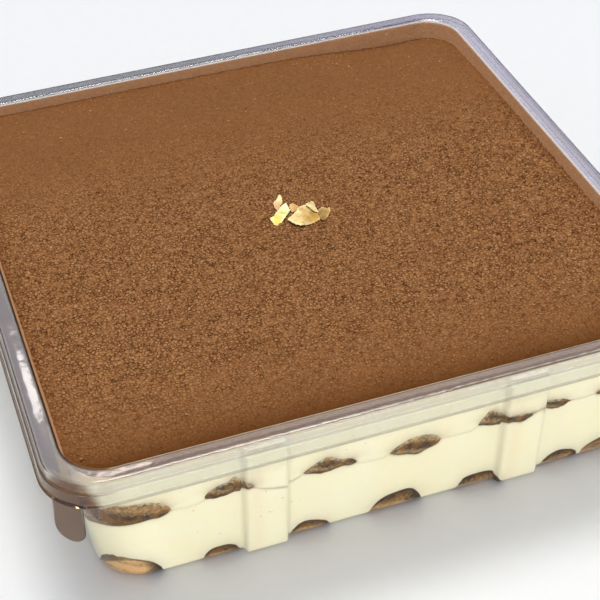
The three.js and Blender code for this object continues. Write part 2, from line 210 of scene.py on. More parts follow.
class Skin:
    """Gathers the points and faces of one piece as whole arrays, and makes its mesh."""

    def __init__(self) -> None:
        """Starts with no points and no faces."""
        self.points: list[Array] = []
        self.faces: dict[int, list[Array]] = {3: [], 4: []}
        self.shades: dict[str, list[tuple[Array, Array]]] = {}
        self.count = 0

    def put(self, x: Number, y: Number, z: Number, **shades: Number) -> Array:
        """Adds a grid of points.

        Args:
            x: X coordinates in mm.
            y: Y coordinates in mm.
            z: Z coordinates in mm. The three are broadcast to one shape.
            **shades: Values from 0 to 1 that the finish reads as attributes, 0 where none are given.

        Returns:
            The points' numbers, shaped like the grid.
        """
        x, y, z = np.broadcast_arrays(x, y, z)
        numbers = np.arange(self.count, self.count + x.size).reshape(x.shape)
        self.points.append(np.stack([x, y, z], axis=-1).reshape(-1, 3))
        self.count += x.size
        for name, values in shades.items():
            flat = np.broadcast_to(values, x.shape).ravel()
            self.shades.setdefault(name, []).append((numbers.ravel(), flat))
        return numbers

    def cover(self, numbers: Array, closed: bool = False) -> None:
        """Covers a grid of points with quads.

        Args:
            numbers: Point numbers in rows and columns.
            closed: Whether the last column joins the first.
        """
        if closed:
            numbers = np.concatenate([numbers, numbers[:, :1]], axis=1)
        corners = (numbers[:-1, :-1], numbers[:-1, 1:], numbers[1:, 1:], numbers[1:, :-1])
        self.faces[4].append(np.stack(corners, axis=-1).reshape(-1, 4))

    def fan(self, ring: Array, middle: Array, turned: bool = False) -> None:
        """Closes a ring with triangles to a point in its middle.

        Args:
            ring: Point numbers round the ring.
            middle: The middle point's number.
            turned: Whether the triangles face the other way.
        """
        following = np.roll(ring, -1)
        pair = (following, ring) if turned else (ring, following)
        self.faces[3].append(np.stack([*pair, np.full_like(ring, middle)], axis=-1))

    def outward(self, points: Array, triangles: Array, quads: Array) -> bool:
        """Tells whether the faces point out: the volume under them, counted from the origin, is above 0.

        Args:
            points: The points' places.
            triangles: Point numbers, three in each row.
            quads: Point numbers, four in each row.

        Returns:
            Whether they point out.
        """
        split = np.concatenate([triangles, quads[:, [0, 1, 2]], quads[:, [0, 2, 3]]])
        a, b, c = (points[split[:, i]] for i in range(3))
        return float((a * np.cross(b, c)).sum()) > 0

    def piece(self, name: str, material: Material) -> Object:
        """Makes the gathered points and faces one smooth-shaded object at the origin.

        Args:
            name: The object's name.
            material: Its finish.

        Returns:
            The object, linked to the scene.
        """
        points = np.concatenate(self.points)
        triangles = np.concatenate([*self.faces[3], np.empty((0, 3), int)]).astype(np.int32)
        quads = np.concatenate([*self.faces[4], np.empty((0, 4), int)]).astype(np.int32)
        if not self.outward(points, triangles, quads):
            triangles, quads = triangles[:, ::-1], quads[:, ::-1]
        mesh = bpy.data.meshes.new(name)
        mesh.vertices.add(len(points))
        mesh.vertices.foreach_set("co", (points * MM).astype(np.float32).ravel())
        corners = np.concatenate([triangles.ravel(), quads.ravel()])
        mesh.loops.add(len(corners))
        mesh.loops.foreach_set("vertex_index", corners)
        starts = np.concatenate([np.arange(len(triangles)) * 3, triangles.size + np.arange(len(quads)) * 4])
        mesh.polygons.add(len(starts))
        mesh.polygons.foreach_set("loop_start", starts.astype(np.int32))
        mesh.polygons.foreach_set("use_smooth", np.ones(len(starts), bool))
        mesh.update(calc_edges=True)
        mesh.validate()
        for shade, parts in self.shades.items():
            values = np.zeros(len(points), np.float32)
            for numbers, part in parts:
                values[numbers] = part
            mesh.attributes.new(shade, "FLOAT", "POINT").data.foreach_set("value", values)
        mesh.materials.append(material)
        made = bpy.data.objects.new(name, mesh)
        bpy.context.scene.collection.objects.link(made)
        return made


def settle(piece: Object, slot: str, *nodes: str) -> Object:
    """Lets a piece ride on the tub's body, in place of the frame's nodes.

    Args:
        piece: The finished piece.
        slot: Name of the material slot for it. Not used.
        *nodes: The frame's nodes that it stands for.

    Returns:
        The same piece.
    """
    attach(piece, "root")
    if nodes:
        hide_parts(*nodes)
    return piece


# ---- Finishes ----


def layered(tree: NodeTree, colour: Node | tuple, layers: Iterable[tuple[Node | NodeSocket, str]]) -> Node:
    """Lays colours over one another: a layer's colour times its share, and what lies below times the rest.

    Args:
        tree: The node tree that they go in.
        colour: What lies lowest.
        layers: Each layer's share and its sRGB hex colour, from the lowest up.

    Returns:
        The node that gives the finished colour.
    """
    for share, shade in layers:
        inputs = {FACTOR: share, COLOUR_A: colour, COLOUR_B: linear(shade)}
        colour = add_node(tree, "Mix", inputs, data_type="RGBA")
    return colour


@dataclass(frozen=True)
class Finish:
    """What all finishes share: a name, and a material made from one surface shader."""

    name: str

    def surface(self, tree: NodeTree, place: NodeSocket) -> Node:
        """Adds the finish's own nodes, which read places on the piece, and gives its shader."""
        raise NotImplementedError

    def material(self) -> Material:
        """Makes the material.

        Returns:
            The material, with the finish's shader as its surface.
        """
        made = bpy.data.materials.new(self.name)
        made.use_nodes = True
        tree = made.node_tree
        tree.nodes.clear()
        place = add_node(tree, "TexCoord").outputs["Object"]
        add_node(tree, "OutputMaterial", {"Surface": self.surface(tree, place)})
        return made


@dataclass(frozen=True)
class ClearPet(Finish):
    """Clear PET sheet, thermoformed. Stretching over the mould leaves it glossy with faint ripples, so its
    reflections break up, and light goes through it nearly unchanged. Its rim is painted with reflections,
    darker at the back and the sides and browner towards the front left corner and on the tab, and with shade
    on the skirt and along the lip."""

    tint: str = "#F6F8F8"
    skirt: str = "#E2E0E6"  # painted shade on the skirt above its step, under the crest
    lip: str = "#C6C3C4"  # painted shade along the turned-out edge, which shows as a thin grey line
    crest: str = "#F0DCD0"  # tint of the crest along the front: a painted reflection
    shade: str = "#F1F2F4"  # colour of the light that it lets through
    roughness: float = 0.05
    ior: float = 1.57
    ripple: float = 5.0  # mm between the ripples
    ripple_depth: float = 0.07  # mm
    skirt_from: float = 84.4  # mm from the middle to the skirt, along x or y
    lip_from: float = 86.05  # the same to the turned-out edge
    step_at: float = 43.3  # height of the skirt's step, in mm
    crest_from: float = 45.7  # height above which the sheet is the crest, in mm
    # Painted reflections on the crest: direction in plan, where along it the tint starts and is full in mm,
    # and tint.
    crest_reflections: tuple[tuple[Pair, float, float, str], ...] = (
        ((-1.0, 0.0), 76.0, 80.0, "#A2949B"),
        ((0.0, 1.0), 76.0, 80.0, "#73737C"),
        ((1.0, 0.0), 0.0, 80.0, "#A89FBA"),
    )
    reflections_from: Pair = (-84.0, -79.0)  # y in mm up to which the crest is clear, and from which its painted reflections start
    # The same for what hangs below the crest, painted brown as a reflection: the left skirt, then the tab.
    hanging: tuple[tuple[Pair, float, float, str], ...] = (
        ((-1.0, 0.0), 84.2, 84.8, "#93775E"),
        ((-0.7071, -0.7071), 113.2, 114.2, "#927054"),
    )

    def sheet_tint(self, tree: NodeTree, place: NodeSocket) -> Node:
        """Mixes the tints of the wall, the skirt, the lip and the crest by where they are on the tub. All but
        the wall's are painted: shade on the skirt and the lip, reflections on the crest and on what hangs
        below it.

        Each tint's share rises from 0 to 1 between two places, and is multiplied by the share of the part
        of the tub that it keeps to.

        Args:
            tree: The node tree.
            place: Places on the tub.

        Returns:
            The node that gives the tint.
        """
        axes = add_node(tree, "SeparateXYZ", {0: place}).outputs
        unsigned = add_node(tree, "VectorMath", {0: place}, operation="ABSOLUTE")
        far = add_node(tree, "SeparateXYZ", {0: unsigned}).outputs
        widest = add_node(tree, "Math", {0: far["X"], 1: far["Y"]}, operation="MAXIMUM")
        rises = (
            (widest, self.skirt_from, self.skirt_from + 0.5),
            (axes["Z"], self.step_at, self.step_at + 0.4),
            (widest, self.lip_from, self.lip_from + 0.2),
            (axes["Z"], self.crest_from, self.crest_from + 0.5),
            (axes["Z"], self.crest_from + 0.3, self.crest_from),
            (axes["Y"], *self.reflections_from),
        )
        side, over_step, lip, crest, below, behind = (
            add_node(tree, "MapRange", {0: value, 1: start * MM, 2: full * MM})
            for value, start, full in rises
        )
        skirt, reflecting = (
            add_node(tree, "Math", {0: first, 1: second}, operation="MULTIPLY")
            for first, second in ((side, over_step), (crest, behind))
        )
        # Painted shade on the skirt and the lip, and painted reflections on the crest and on what hangs below
        # it.
        layers = [(skirt, self.skirt), (lip, self.lip), (crest, self.crest)]
        for limit, tints in ((reflecting, self.crest_reflections), (below, self.hanging)):
            for way, start, full, tint in tints:
                inputs = {0: place, 1: (*way, 0.0)}
                outwards = add_node(tree, "VectorMath", inputs, operation="DOT_PRODUCT")
                share = add_node(tree, "MapRange", {0: outwards, 1: start * MM, 2: full * MM})
                limited = add_node(tree, "Math", {0: share, 1: limit}, operation="MULTIPLY")
                layers.append((limited, tint))
        return layered(tree, linear(self.tint), layers)

    def surface(self, tree: NodeTree, place: NodeSocket) -> Node:
        """Makes rippled clear plastic that shadows see as a tinted window.

        Args:
            tree: The node tree.
            place: Places on the tub.

        Returns:
            The shader.
        """
        waves = {"Vector": place, "Scale": per_mm(self.ripple), "Detail": 2.0}
        ripples = add_node(tree, "TexNoise", waves)
        rippled = {"Height": ripples, "Strength": 0.5, "Distance": self.ripple_depth * MM}
        sheet = {
            "Base Color": self.sheet_tint(tree, place),
            "Roughness": self.roughness,
            "IOR": self.ior,
            "Transmission Weight": 1.0,
            "Normal": add_node(tree, "Bump", rippled),
        }
        plastic = add_node(tree, "BsdfPrincipled", sheet)
        window = add_node(tree, "BsdfTransparent", {"Color": linear(self.shade)})
        shadow = add_node(tree, "LightPath").outputs["Is Shadow Ray"]
        return add_node(tree, "MixShader", {0: shadow, 1: plastic, 2: window})


@dataclass(frozen=True)
class MascarponeCream(Finish):
    """Whipped mascarpone pressed against the wall. It is smooth and nearly matt, light soaks into it a
    little, and coffee has crept into it round the ladyfingers and along the seam. Shade is painted on it
    under the lip and above the bottom row's patches, and a warm reflection on the ribs' left feet."""

    body: str = "#FBF0CA"
    pale: str = "#FCF5DB"
    coffee: str = "#7E5C1E"
    seam: str = "#A58A5C"
    shaded: str = "#B9B498"
    # painted warm reflection on the ribs' left feet
    rib_reflection: str = "#F3DDBC"
    speck: str = "#9C8C66"
    roughness: float = 0.5
    mottle: float = 9.0  # mm between paler and fuller places
    swell: float = 1.0  # mm that the mottles rise
    creep: float = 1.6  # mm between places that the coffee has crept to
    speck_size: float = 0.32  # mm
    speck_apart: float = 2.2  # sizes from one speck's cell to the next
    soak: float = 1.2  # mm that light goes into it

    def surface(self, tree: NodeTree, place: NodeSocket) -> Node:
        """Makes cream whose colour follows its attributes: the painted warm reflection on the ribs, the
        painted shade, the seam, coffee and specks.

        Args:
            tree: The node tree.
            place: Places on the cream.

        Returns:
            The shader.
        """
        mottle, creep = (
            add_node(tree, "TexNoise", {"Vector": place, "Scale": per_mm(size), "Detail": detail})
            for size, detail in ((self.mottle, 3.0), (self.creep, 2.0))
        )
        uneven = add_node(tree, "MapRange", {0: creep, 1: 0.3, 2: 0.7, 3: 0.65, 4: 1.1})
        layers = [(mottle, self.pale)]
        stains = (("rib_reflection", self.rib_reflection), ("shade", self.shaded), ("seam", self.seam), ("coffee", self.coffee))
        for attribute, shade in stains:
            amount = add_node(tree, "Attribute", attribute_name=attribute).outputs["Fac"]
            share = add_node(tree, "Math", {0: amount, 1: uneven}, operation="MULTIPLY")
            layers.append((share, shade))
        # A speck sits in the middle of a cell, and only in the few cells whose random red is under specks.
        cells = {"Vector": place, "Scale": per_mm(self.speck_size * self.speck_apart)}
        dots = add_node(tree, "TexVoronoi", cells)
        dot = add_node(tree, "MapRange", {0: dots, 1: 0.16, 2: 0.3, 3: 1.0, 4: 0.0})
        rare = add_node(tree, "SeparateColor", {0: dots.outputs["Color"]})
        density = add_node(tree, "Attribute", attribute_name="specks").outputs["Fac"]
        chosen = add_node(tree, "Math", {0: rare, 1: density}, operation="LESS_THAN")
        spotted = add_node(tree, "Math", {0: chosen, 1: dot}, operation="MULTIPLY")
        layers.append((spotted, self.speck))
        swollen = {"Height": mottle, "Strength": 0.3, "Distance": self.swell * MM}
        cream = {
            "Base Color": layered(tree, linear(self.body), layers),
            "Roughness": self.roughness,
            "IOR": 1.45,
            "Specular IOR Level": 0.25,
            "Subsurface Weight": 0.25,
            "Subsurface Radius": (1.0, 0.75, 0.45),
            "Subsurface Scale": self.soak * MM,
            "Normal": add_node(tree, "Bump", swollen),
        }
        return add_node(tree, "BsdfPrincipled", cream)


@dataclass(frozen=True)
class SoakedSponge(Finish):
    """Ladyfinger sponge soaked in coffee. The soaked crumb is dark and matt with small pores, and where the
    coffee hasn't reached it stays golden. On the bottom row's pressed ends the golden low down is also
    painted light from below, and the dark at their right and along their upper edge is painted shade."""

    soaked: str = "#402400"
    crumb: str = "#865A08"
    # also painted shade on the bottom row's ends
    dark: str = "#301A00"
    # also painted light from below, low on the bottom row's ends
    golden: str = "#EAC084"
    cream: str = "#F3ECC8"
    roughness: float = 0.8
    pore: float = 0.9  # mm
    pore_depth: float = 0.3  # mm
    patch: float = 2.4  # mm between wetter and drier places
    fray: float = 0.8  # mm between the tatters of a patch's edge

    def surface(self, tree: NodeTree, place: NodeSocket) -> Node:
        """Makes porous sponge whose colour follows the attributes toast, dark and veil.

        Args:
            tree: The node tree.
            place: Places on the ladyfinger.

        Returns:
            The shader.
        """
        patch, fray = (
            add_node(tree, "TexNoise", {"Vector": place, "Scale": per_mm(size), "Detail": 4.0})
            for size in (self.patch, self.fray)
        )
        layers = [(add_node(tree, "MapRange", {0: patch, 1: 0.4, 2: 0.6}), self.crumb)]
        for attribute, shade in (("toast", self.golden), ("dark", self.dark), ("veil", self.cream)):
            amount = add_node(tree, "Attribute", attribute_name=attribute).outputs["Fac"]
            frayed = add_node(tree, "Math", {0: fray, 1: 0.9, 2: amount}, operation="MULTIPLY_ADD")
            layers.append((add_node(tree, "MapRange", {0: frayed, 1: 0.55, 2: 1.25}), shade))
        pores = add_node(tree, "TexVoronoi", {"Vector": place, "Scale": per_mm(self.pore)})
        hollows = {"Height": pores, "Strength": 0.6, "Distance": self.pore_depth * MM}
        sponge = {
            "Base Color": layered(tree, linear(self.soaked), layers),
            "Roughness": self.roughness,
            "IOR": 1.4,
            "Specular IOR Level": 0.2,
            "Normal": add_node(tree, "Bump", hollows),
        }
        return add_node(tree, "BsdfPrincipled", sponge)


@dataclass(frozen=True)
class SiftedCocoa(Finish):
    """Cocoa powder sifted on and left to draw moisture from the cream. It clots into matt grains. Their tops
    are painted light, and the cracks between them painted shade, where the powder is darker too. It is darker
    near the wall, most of all along the front. The powder itself is far too fine to show, so its dust is
    drawn as coarse as it needs to be seen."""

    # painted light on the grains' tops
    crown: str = "#D09D6A"
    body: str = "#9A673D"
    # painted shade in the cracks, where the powder is darker too
    shaded_pit: str = "#4A2207"
    # colour that it darkens to near the wall and in random places
    damp: str = "#5E3511"
    roughness: float = 0.95
    clod: float = 0.95  # mm across a clot
    lump: float = 1.1  # mm across two neighbouring swells of its surface
    dust: float = 0.45  # mm, drawn coarser than it is
    tone: float = 14.0  # mm between paler and darker places
    opening: float = 1.5  # mm between places where the borders of clots open and where they stay shut
    warp: float = 0.6  # mm that those borders wander
    relief: float = 0.6  # mm that a clot stands out

    def surface(self, tree: NodeTree, place: NodeSocket) -> Node:
        """Makes matt grains whose colour follows three attributes: painted light on the tops, darkening, and
        grit.

        Clots are the cells of a warped cell pattern, and only some of their borders open into cracks. The
        height of clots and dust together, times the grit, is added to the painted light of the tops and picks
        the colour, from painted shade in the cracks to painted light on the tops.

        Args:
            tree: The node tree.
            place: Places on the cocoa.

        Returns:
            The shader.
        """
        crown, damp, grit = (
            add_node(tree, "Attribute", attribute_name=name).outputs["Fac"]
            for name in ("crown", "damp", "grit")
        )
        lumps, dust, opened, tone = (
            add_node(tree, "TexNoise", {"Vector": place, "Scale": per_mm(size), "Detail": detail})
            for size, detail in ((self.lump, 1.5), (self.dust, 2.0), (self.opening, 1.0), (self.tone, 2.0))
        )
        centred, sandy = (
            add_node(tree, "Math", {0: noise, 1: 0.5}, operation="SUBTRACT")
            for noise in (lumps, dust)
        )
        shift = {0: lumps.outputs["Color"], 1: (self.warp * MM,) * 3, 2: place}
        warped = add_node(tree, "VectorMath", shift, operation="MULTIPLY_ADD")
        cells = {"Vector": warped, "Scale": per_mm(self.clod)}
        clods = add_node(tree, "TexVoronoi", cells, feature="DISTANCE_TO_EDGE")
        cracks = add_node(tree, "MapRange", {0: clods, 1: 0.0, 2: 0.22, 3: -0.42, 4: 0.08})
        depth = add_node(tree, "MapRange", {0: opened, 1: 0.3, 2: 0.7, 3: 0.3, 4: 1.15})
        broken = add_node(tree, "Math", {0: cracks, 1: depth}, operation="MULTIPLY")
        clumped = add_node(tree, "Math", {0: centred, 1: 0.8, 2: broken}, operation="MULTIPLY_ADD")
        height = add_node(tree, "Math", {0: sandy, 1: clumped}, operation="ADD")
        shown = add_node(tree, "Math", {0: height, 1: grit, 2: crown}, operation="MULTIPLY_ADD")
        level = add_node(tree, "MapRange", {0: shown, 1: -0.05, 2: 1.05})
        ramp = add_node(tree, "ValToRGB", {0: level})
        stops = ramp.color_ramp.elements
        stops[0].color, stops[1].color = linear(self.shaded_pit), linear(self.crown)
        stops.new(0.5).color = linear(self.body)
        # Darker in random places and near the wall.
        moist = add_node(tree, "MapRange", {0: tone, 1: 0.3, 2: 0.8, 3: 0.0, 4: 0.12})
        darker_share = add_node(tree, "Math", {0: moist, 1: damp}, operation="ADD")
        clotted = {"Height": clumped, "Strength": grit, "Distance": self.relief * MM}
        cocoa = {
            "Base Color": layered(tree, ramp, [(darker_share, self.damp)]),
            "Roughness": self.roughness,
            "IOR": 1.4,
            "Specular IOR Level": 0.15,
            "Normal": add_node(tree, "Bump", clotted),
        }
        return add_node(tree, "BsdfPrincipled", cocoa)


@dataclass(frozen=True)
class CocoaFilmAndReflection(Finish):
    """Cocoa powder that static holds on the plastic above the bed: a thin matt film, broken up where the
    sheet shows through. It also stands in for the brown that the inner wall shows by reflection, so it is
    partly a painted reflection. Its dust too is drawn coarser than it is."""

    body: str = "#F0BA88"
    thick: str = "#CC9462"
    packed: str = "#825A34"  # where it lies on the sheet
    roughness: float = 0.95
    patch: float = 1.6  # mm between thicker and thinner places
    dust: float = 0.7  # mm
    dust_depth: float = 0.4  # mm

    def surface(self, tree: NodeTree, place: NodeSocket) -> Node:
        """Makes matt powder whose alpha follows the attribute cover, and its colour the attribute packed.

        Args:
            tree: The node tree.
            place: Places on the film.

        Returns:
            The shader.
        """
        clumps, dust = (
            add_node(tree, "TexNoise", {"Vector": place, "Scale": per_mm(size), "Detail": detail})
            for size, detail in ((self.patch, 4.0), (self.dust, 2.0))
        )
        cover, packed = (
            add_node(tree, "Attribute", attribute_name=name).outputs["Fac"]
            for name in ("cover", "packed")
        )
        thickness = add_node(tree, "Math", {0: clumps, 1: cover}, operation="ADD")
        dusty = {"Height": dust, "Strength": 0.7, "Distance": self.dust_depth * MM}
        film = {
            "Base Color": layered(tree, linear(self.body), [(clumps, self.thick), (packed, self.packed)]),
            "Roughness": self.roughness,
            "Alpha": add_node(tree, "MapRange", {0: thickness, 1: 0.9, 2: 1.4}),
            "Normal": add_node(tree, "Bump", dusty),
        }
        return add_node(tree, "BsdfPrincipled", film)


@dataclass(frozen=True)
class BeatenGold(Finish):
    """Edible gold leaf, beaten thinner than a hair. It wrinkles more finely than shows, which spreads its
    gloss until it looks satin. Light is painted on it: paler along its edges, on a folded-over flap and
    towards one side of each flake. The wrinkles are drawn as coarse as they need to be seen."""

    gold: str = "#F0D080"
    pale: str = "#FBEFB4"
    roughness: float = 0.62
    metallic: float = 0.55  # below 1, because the wrinkles scatter much of the light like paper
    drift: float = 2.2  # mm between the two golds
    wrinkle: float = 0.8  # mm
    wrinkle_depth: float = 0.2  # mm

    def surface(self, tree: NodeTree, place: NodeSocket) -> Node:
        """Makes satin metal that drifts between two golds, and is painted paler by the attribute light.

        Args:
            tree: The node tree.
            place: Places on the flake.

        Returns:
            The shader.
        """
        drift, wrinkles = (
            add_node(tree, "TexNoise", {"Vector": place, "Scale": per_mm(size), "Detail": detail})
            for size, detail in ((self.drift, 3.0), (self.wrinkle, 2.0))
        )
        light = add_node(tree, "Attribute", attribute_name="light").outputs["Fac"]
        level = add_node(tree, "Math", {0: drift, 1: light}, operation="ADD")
        share = add_node(tree, "MapRange", {0: level, 1: 0.5, 2: 1.1})
        wrinkled = {"Height": wrinkles, "Strength": 0.35, "Distance": self.wrinkle_depth * MM}
        leaf = {
            "Base Color": layered(tree, linear(self.gold), [(share, self.pale)]),
            "Metallic": self.metallic,
            "Roughness": self.roughness,
            "Normal": add_node(tree, "Bump", wrinkled),
        }
        return add_node(tree, "BsdfPrincipled", leaf)


@dataclass(frozen=True)
class MattBoard(Finish):
    """Matt white painted board. Rolled paint leaves an orange-peel too fine to throw a gloss."""

    paint: str = "#F2F2F3"
    shadow_paint: str = "#EFEFF0"
    roughness: float = 0.9
    peel: float = 4.0  # mm

    def surface(self, tree: NodeTree, place: NodeSocket) -> Node:
        """Makes rolled matt paint.

        Args:
            tree: The node tree.
            place: Places on the board.

        Returns:
            The shader.
        """
        peel = add_node(tree, "TexNoise", {"Vector": place, "Scale": per_mm(self.peel)})
        colour = layered(tree, linear(self.paint), [(peel, self.shadow_paint)])
        paint = {"Base Color": colour, "Roughness": self.roughness, "Specular IOR Level": 0.1}
        return add_node(tree, "BsdfPrincipled", paint)


# ---- The tub ----


class Side(enum.Enum):
    """The tub's four sides, by their quarter turns from the front."""

    FRONT = 0
    RIGHT = 1
    BACK = 2
    LEFT = 3


@dataclass(frozen=True)
class TubShape:
    """The tub's form, measured on the inner or upper face of its sheet."""

    height: float
    lip_half: float  # half the width over the lip's edge
    sheet: float = 0.5
    crest_width: float = 4.7
    floor_half: float = 74.5  # half the width of the wall, run down to the floor
    wall_top_half: float = 78.6
    wall_top: float = 40.6
    foot_rounding: float = 2.8
    floor_corner: float = 12.0  # corner radii in plan
    rim_corner: float = 10.8
    crest_corner: float = 13.5
    crest_rounding: float = 1.0
    step_height: float = 44.0
    step_rounding: float = 0.95
    step_out: float = 0.5
    skirt_end: float = 40.2
    skirt_lean: float = 0.3
    lip_out: float = 0.55
    rib_at: float = 34.0  # from the middle of a side
    rib_base: float = 12.4
    rib_face: float = 9.6
    rib_out: float = 2.0
    rib_top: float = 37.5
    rib_fade: float = 2.6

    @classmethod
    def from_frame(cls) -> "TubShape":
        """Takes the height and width from the frame's tub."""
        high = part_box("tub")[1] / MM
        return cls(height=high.z, lip_half=high.x)

    @property
    def crest_half(self) -> float:
        """Half the width across the crest's outer edge."""
        return self.lip_half - self.lip_out - self.step_out - 2 * self.skirt_lean

    @property
    def rib_zone(self) -> float:
        """How far from the middle of a side its straight part is laid out from fixed places."""
        return self.rib_at + self.rib_base

    @property
    def foot_top(self) -> float:
        """Height where the foot's rounding meets the wall."""
        return self.sheet + self.foot_rounding

    def wall_half(self, z: Number) -> Number:
        """Works out half the width of the wall's inner face: it leans out, and more so above its top.

        Args:
            z: Heights.

        Returns:
            Half widths shaped like z.
        """
        heights = (0.0, self.wall_top, self.height)
        inner_crest = self.crest_half - self.crest_width
        return np.interp(z, heights, (self.floor_half, self.wall_top_half, inner_crest))

    def rib_depth(self, z: Number) -> Number:
        """How far a rib stands out: in full up to its top, then fading into the wall."""
        return self.rib_out * (1.0 - smoothstep(self.rib_top, self.rib_top + self.rib_fade, z))

    def rib_share(self, along: Number) -> Number:
        """Share of a rib's depth at a place along a side: 1 on its face, falling to 0 at its base."""
        return 1.0 - smoothstep(self.rib_face / 2, self.rib_base / 2, np.abs(np.abs(along) - self.rib_at))

    def ring_at(self, z: Number, reach: Number) -> tuple[Number, Number]:
        """Gives the ring that follows the inner face at a height.

        Below the foot's top the half width follows an arc: the arc's centre plus the square root of its
        squared radius less the squared drop. The corner's radius shrinks by as much as the ring does.

        Args:
            z: Height.
            reach: How far into the sheet the ring lies.

        Returns:
            Half the ring's width, and the radius of its corners.
        """
        wall = self.wall_half(z) + reach
        radius = self.foot_rounding + reach
        centre = self.wall_half(self.foot_top) - self.foot_rounding
        drop = np.clip(self.foot_top - z, 0.0, radius)
        half = np.where(z < self.foot_top, centre + np.sqrt(radius**2 - drop**2), wall)
        corner = np.interp(z, (0.0, self.wall_top), (self.floor_corner, self.rim_corner)) + reach
        return half, corner - (wall - half)

    def on_wall(self, along: Number, z: Number, reach: float) -> tuple[Number, Number]:
        """Finds the place on the front wall, and round its corners, at a distance along it.

        Past the straight part the place goes round an arc, by the distance over the corner's radius, and
        past a quarter turn it goes on along the next side.

        Args:
            along: Distance along the wall from the middle of the front.
            z: Height.
            reach: How far into the sheet the place is.

        Returns:
            The place's x and y.
        """
        half, corner = self.ring_at(z, reach)
        edge = half - corner
        past = np.maximum(np.abs(along) - edge, 0.0)
        bend = np.minimum(past / corner, math.pi / 2)
        beyond = past - bend * corner
        x = np.sign(along) * (np.minimum(np.abs(along), edge) + corner * np.sin(bend))
        y = beyond - edge - corner * np.cos(bend) - self.rib_depth(z) * self.rib_share(along)
        return x, y

    def hold_inside(self, x: Number, y: Number, z: Number, reach: Number) -> tuple[Number, Number]:
        """Draws places that lie outside the wall back to it.

        Near a corner a place moves along its ray from the corner's centre, elsewhere straight in.

        Args:
            x: X coordinates.
            y: Y coordinates.
            z: Heights.
            reach: How far into the sheet they may lie.

        Returns:
            The places' x and y.
        """
        half, corner = self.ring_at(z, reach)
        edge = half - corner
        over_x = np.maximum(np.abs(x) - edge, 0.0)
        over_y = np.maximum(np.abs(y) - edge, 0.0)
        length = np.maximum(np.hypot(over_x, over_y), TINY)
        draw = np.minimum(corner / length, 1.0)
        held_x = np.sign(x) * (np.minimum(np.abs(x), edge) + over_x * draw)
        held_y = np.sign(y) * (np.minimum(np.abs(y), edge) + over_y * draw)
        return held_x, held_y


@dataclass(frozen=True)
class WallStations:
    """Places round the whole tub, as arrays, from which rings of any size are laid out."""

    shape: TubShape
    base: Array  # place along its side, up to the rib zone
    stretch: Array  # share of the straight part past the rib zone, negative on the left
    bend: Array  # angle round the corner that follows its side
    turn: Array  # quarter turns of its side from the front

    @classmethod
    def around(cls, shape: TubShape, places: Array, ends: int, corners: int) -> "WallStations":
        """Lays out the stations of one side and repeats them for all four.

        Args:
            shape: The tub's form.
            places: Places along a side between the ends of its rib zone, in rising order.
            ends: Steps from the rib zone to each end of the straight part.
            corners: Steps round each corner.

        Returns:
            The stations, anticlockwise from the front's left end.
        """
        shares = np.linspace(0.0, 1.0, ends + 1)[1:]
        angles = np.linspace(0.0, math.pi / 2, corners + 1)[1:-1]
        zone = shape.rib_zone
        base = np.concatenate([np.full(ends, -zone), places, np.full(ends + len(angles), zone)])
        stretch = np.concatenate([-shares[::-1], np.zeros(len(places)), shares, np.ones(len(angles))])
        bend = np.concatenate([np.zeros(len(places) + 2 * ends), angles])
        turn = np.repeat(np.arange(4), len(base))
        return cls(shape, np.tile(base, 4), np.tile(stretch, 4), np.tile(bend, 4), turn)

    def place(self, half: Number, corner: Number, rib: Number) -> tuple[Array, Array]:
        """Lays rings through the stations.

        On the front x is the base plus the stretch times the straight part past the rib zone plus the
        corner's radius times the sine of the bend, and y is minus the half width, drawn back by the
        bend's cosine and pushed out by the ribs. Each other side is that, turned by quarters.

        Args:
            half: Half the rings' width.
            corner: Radius of their corners.
            rib: Depth of their ribs.

        Returns:
            The rings' x and y, with one column for each station.
        """
        edge = half - corner
        x = self.base + self.stretch * (edge - self.shape.rib_zone) + corner * np.sin(self.bend)
        y = -edge - corner * np.cos(self.bend) - rib * self.rib
        cosine, sine = (np.round(f(self.turn * math.pi / 2)) for f in (np.cos, np.sin))
        return x * cosine - y * sine, x * sine + y * cosine

    @property
    def rib(self) -> Array:
        """Share of a rib's depth at each station."""
        return self.shape.rib_share(self.base)

    def along(self, side: Side, half: Number, corner: Number) -> Array:
        """Measures the stations along the wall from the middle of one side.

        Args:
            side: The side.
            half: Half the rings' width.
            corner: Radius of their corners.

        Returns:
            Distances, negative to the left, and FAR_AWAY past the side's two corners.
        """
        edge = half - corner
        own = self.base + self.stretch * (edge - self.shape.rib_zone) + corner * self.bend
        before = -(edge + corner * (math.pi / 2 - self.bend))
        is_before = (self.turn == (side.value - 1) % 4) & (self.bend > 0)
        return np.where(self.turn == side.value, own, np.where(is_before, before, FAR_AWAY))


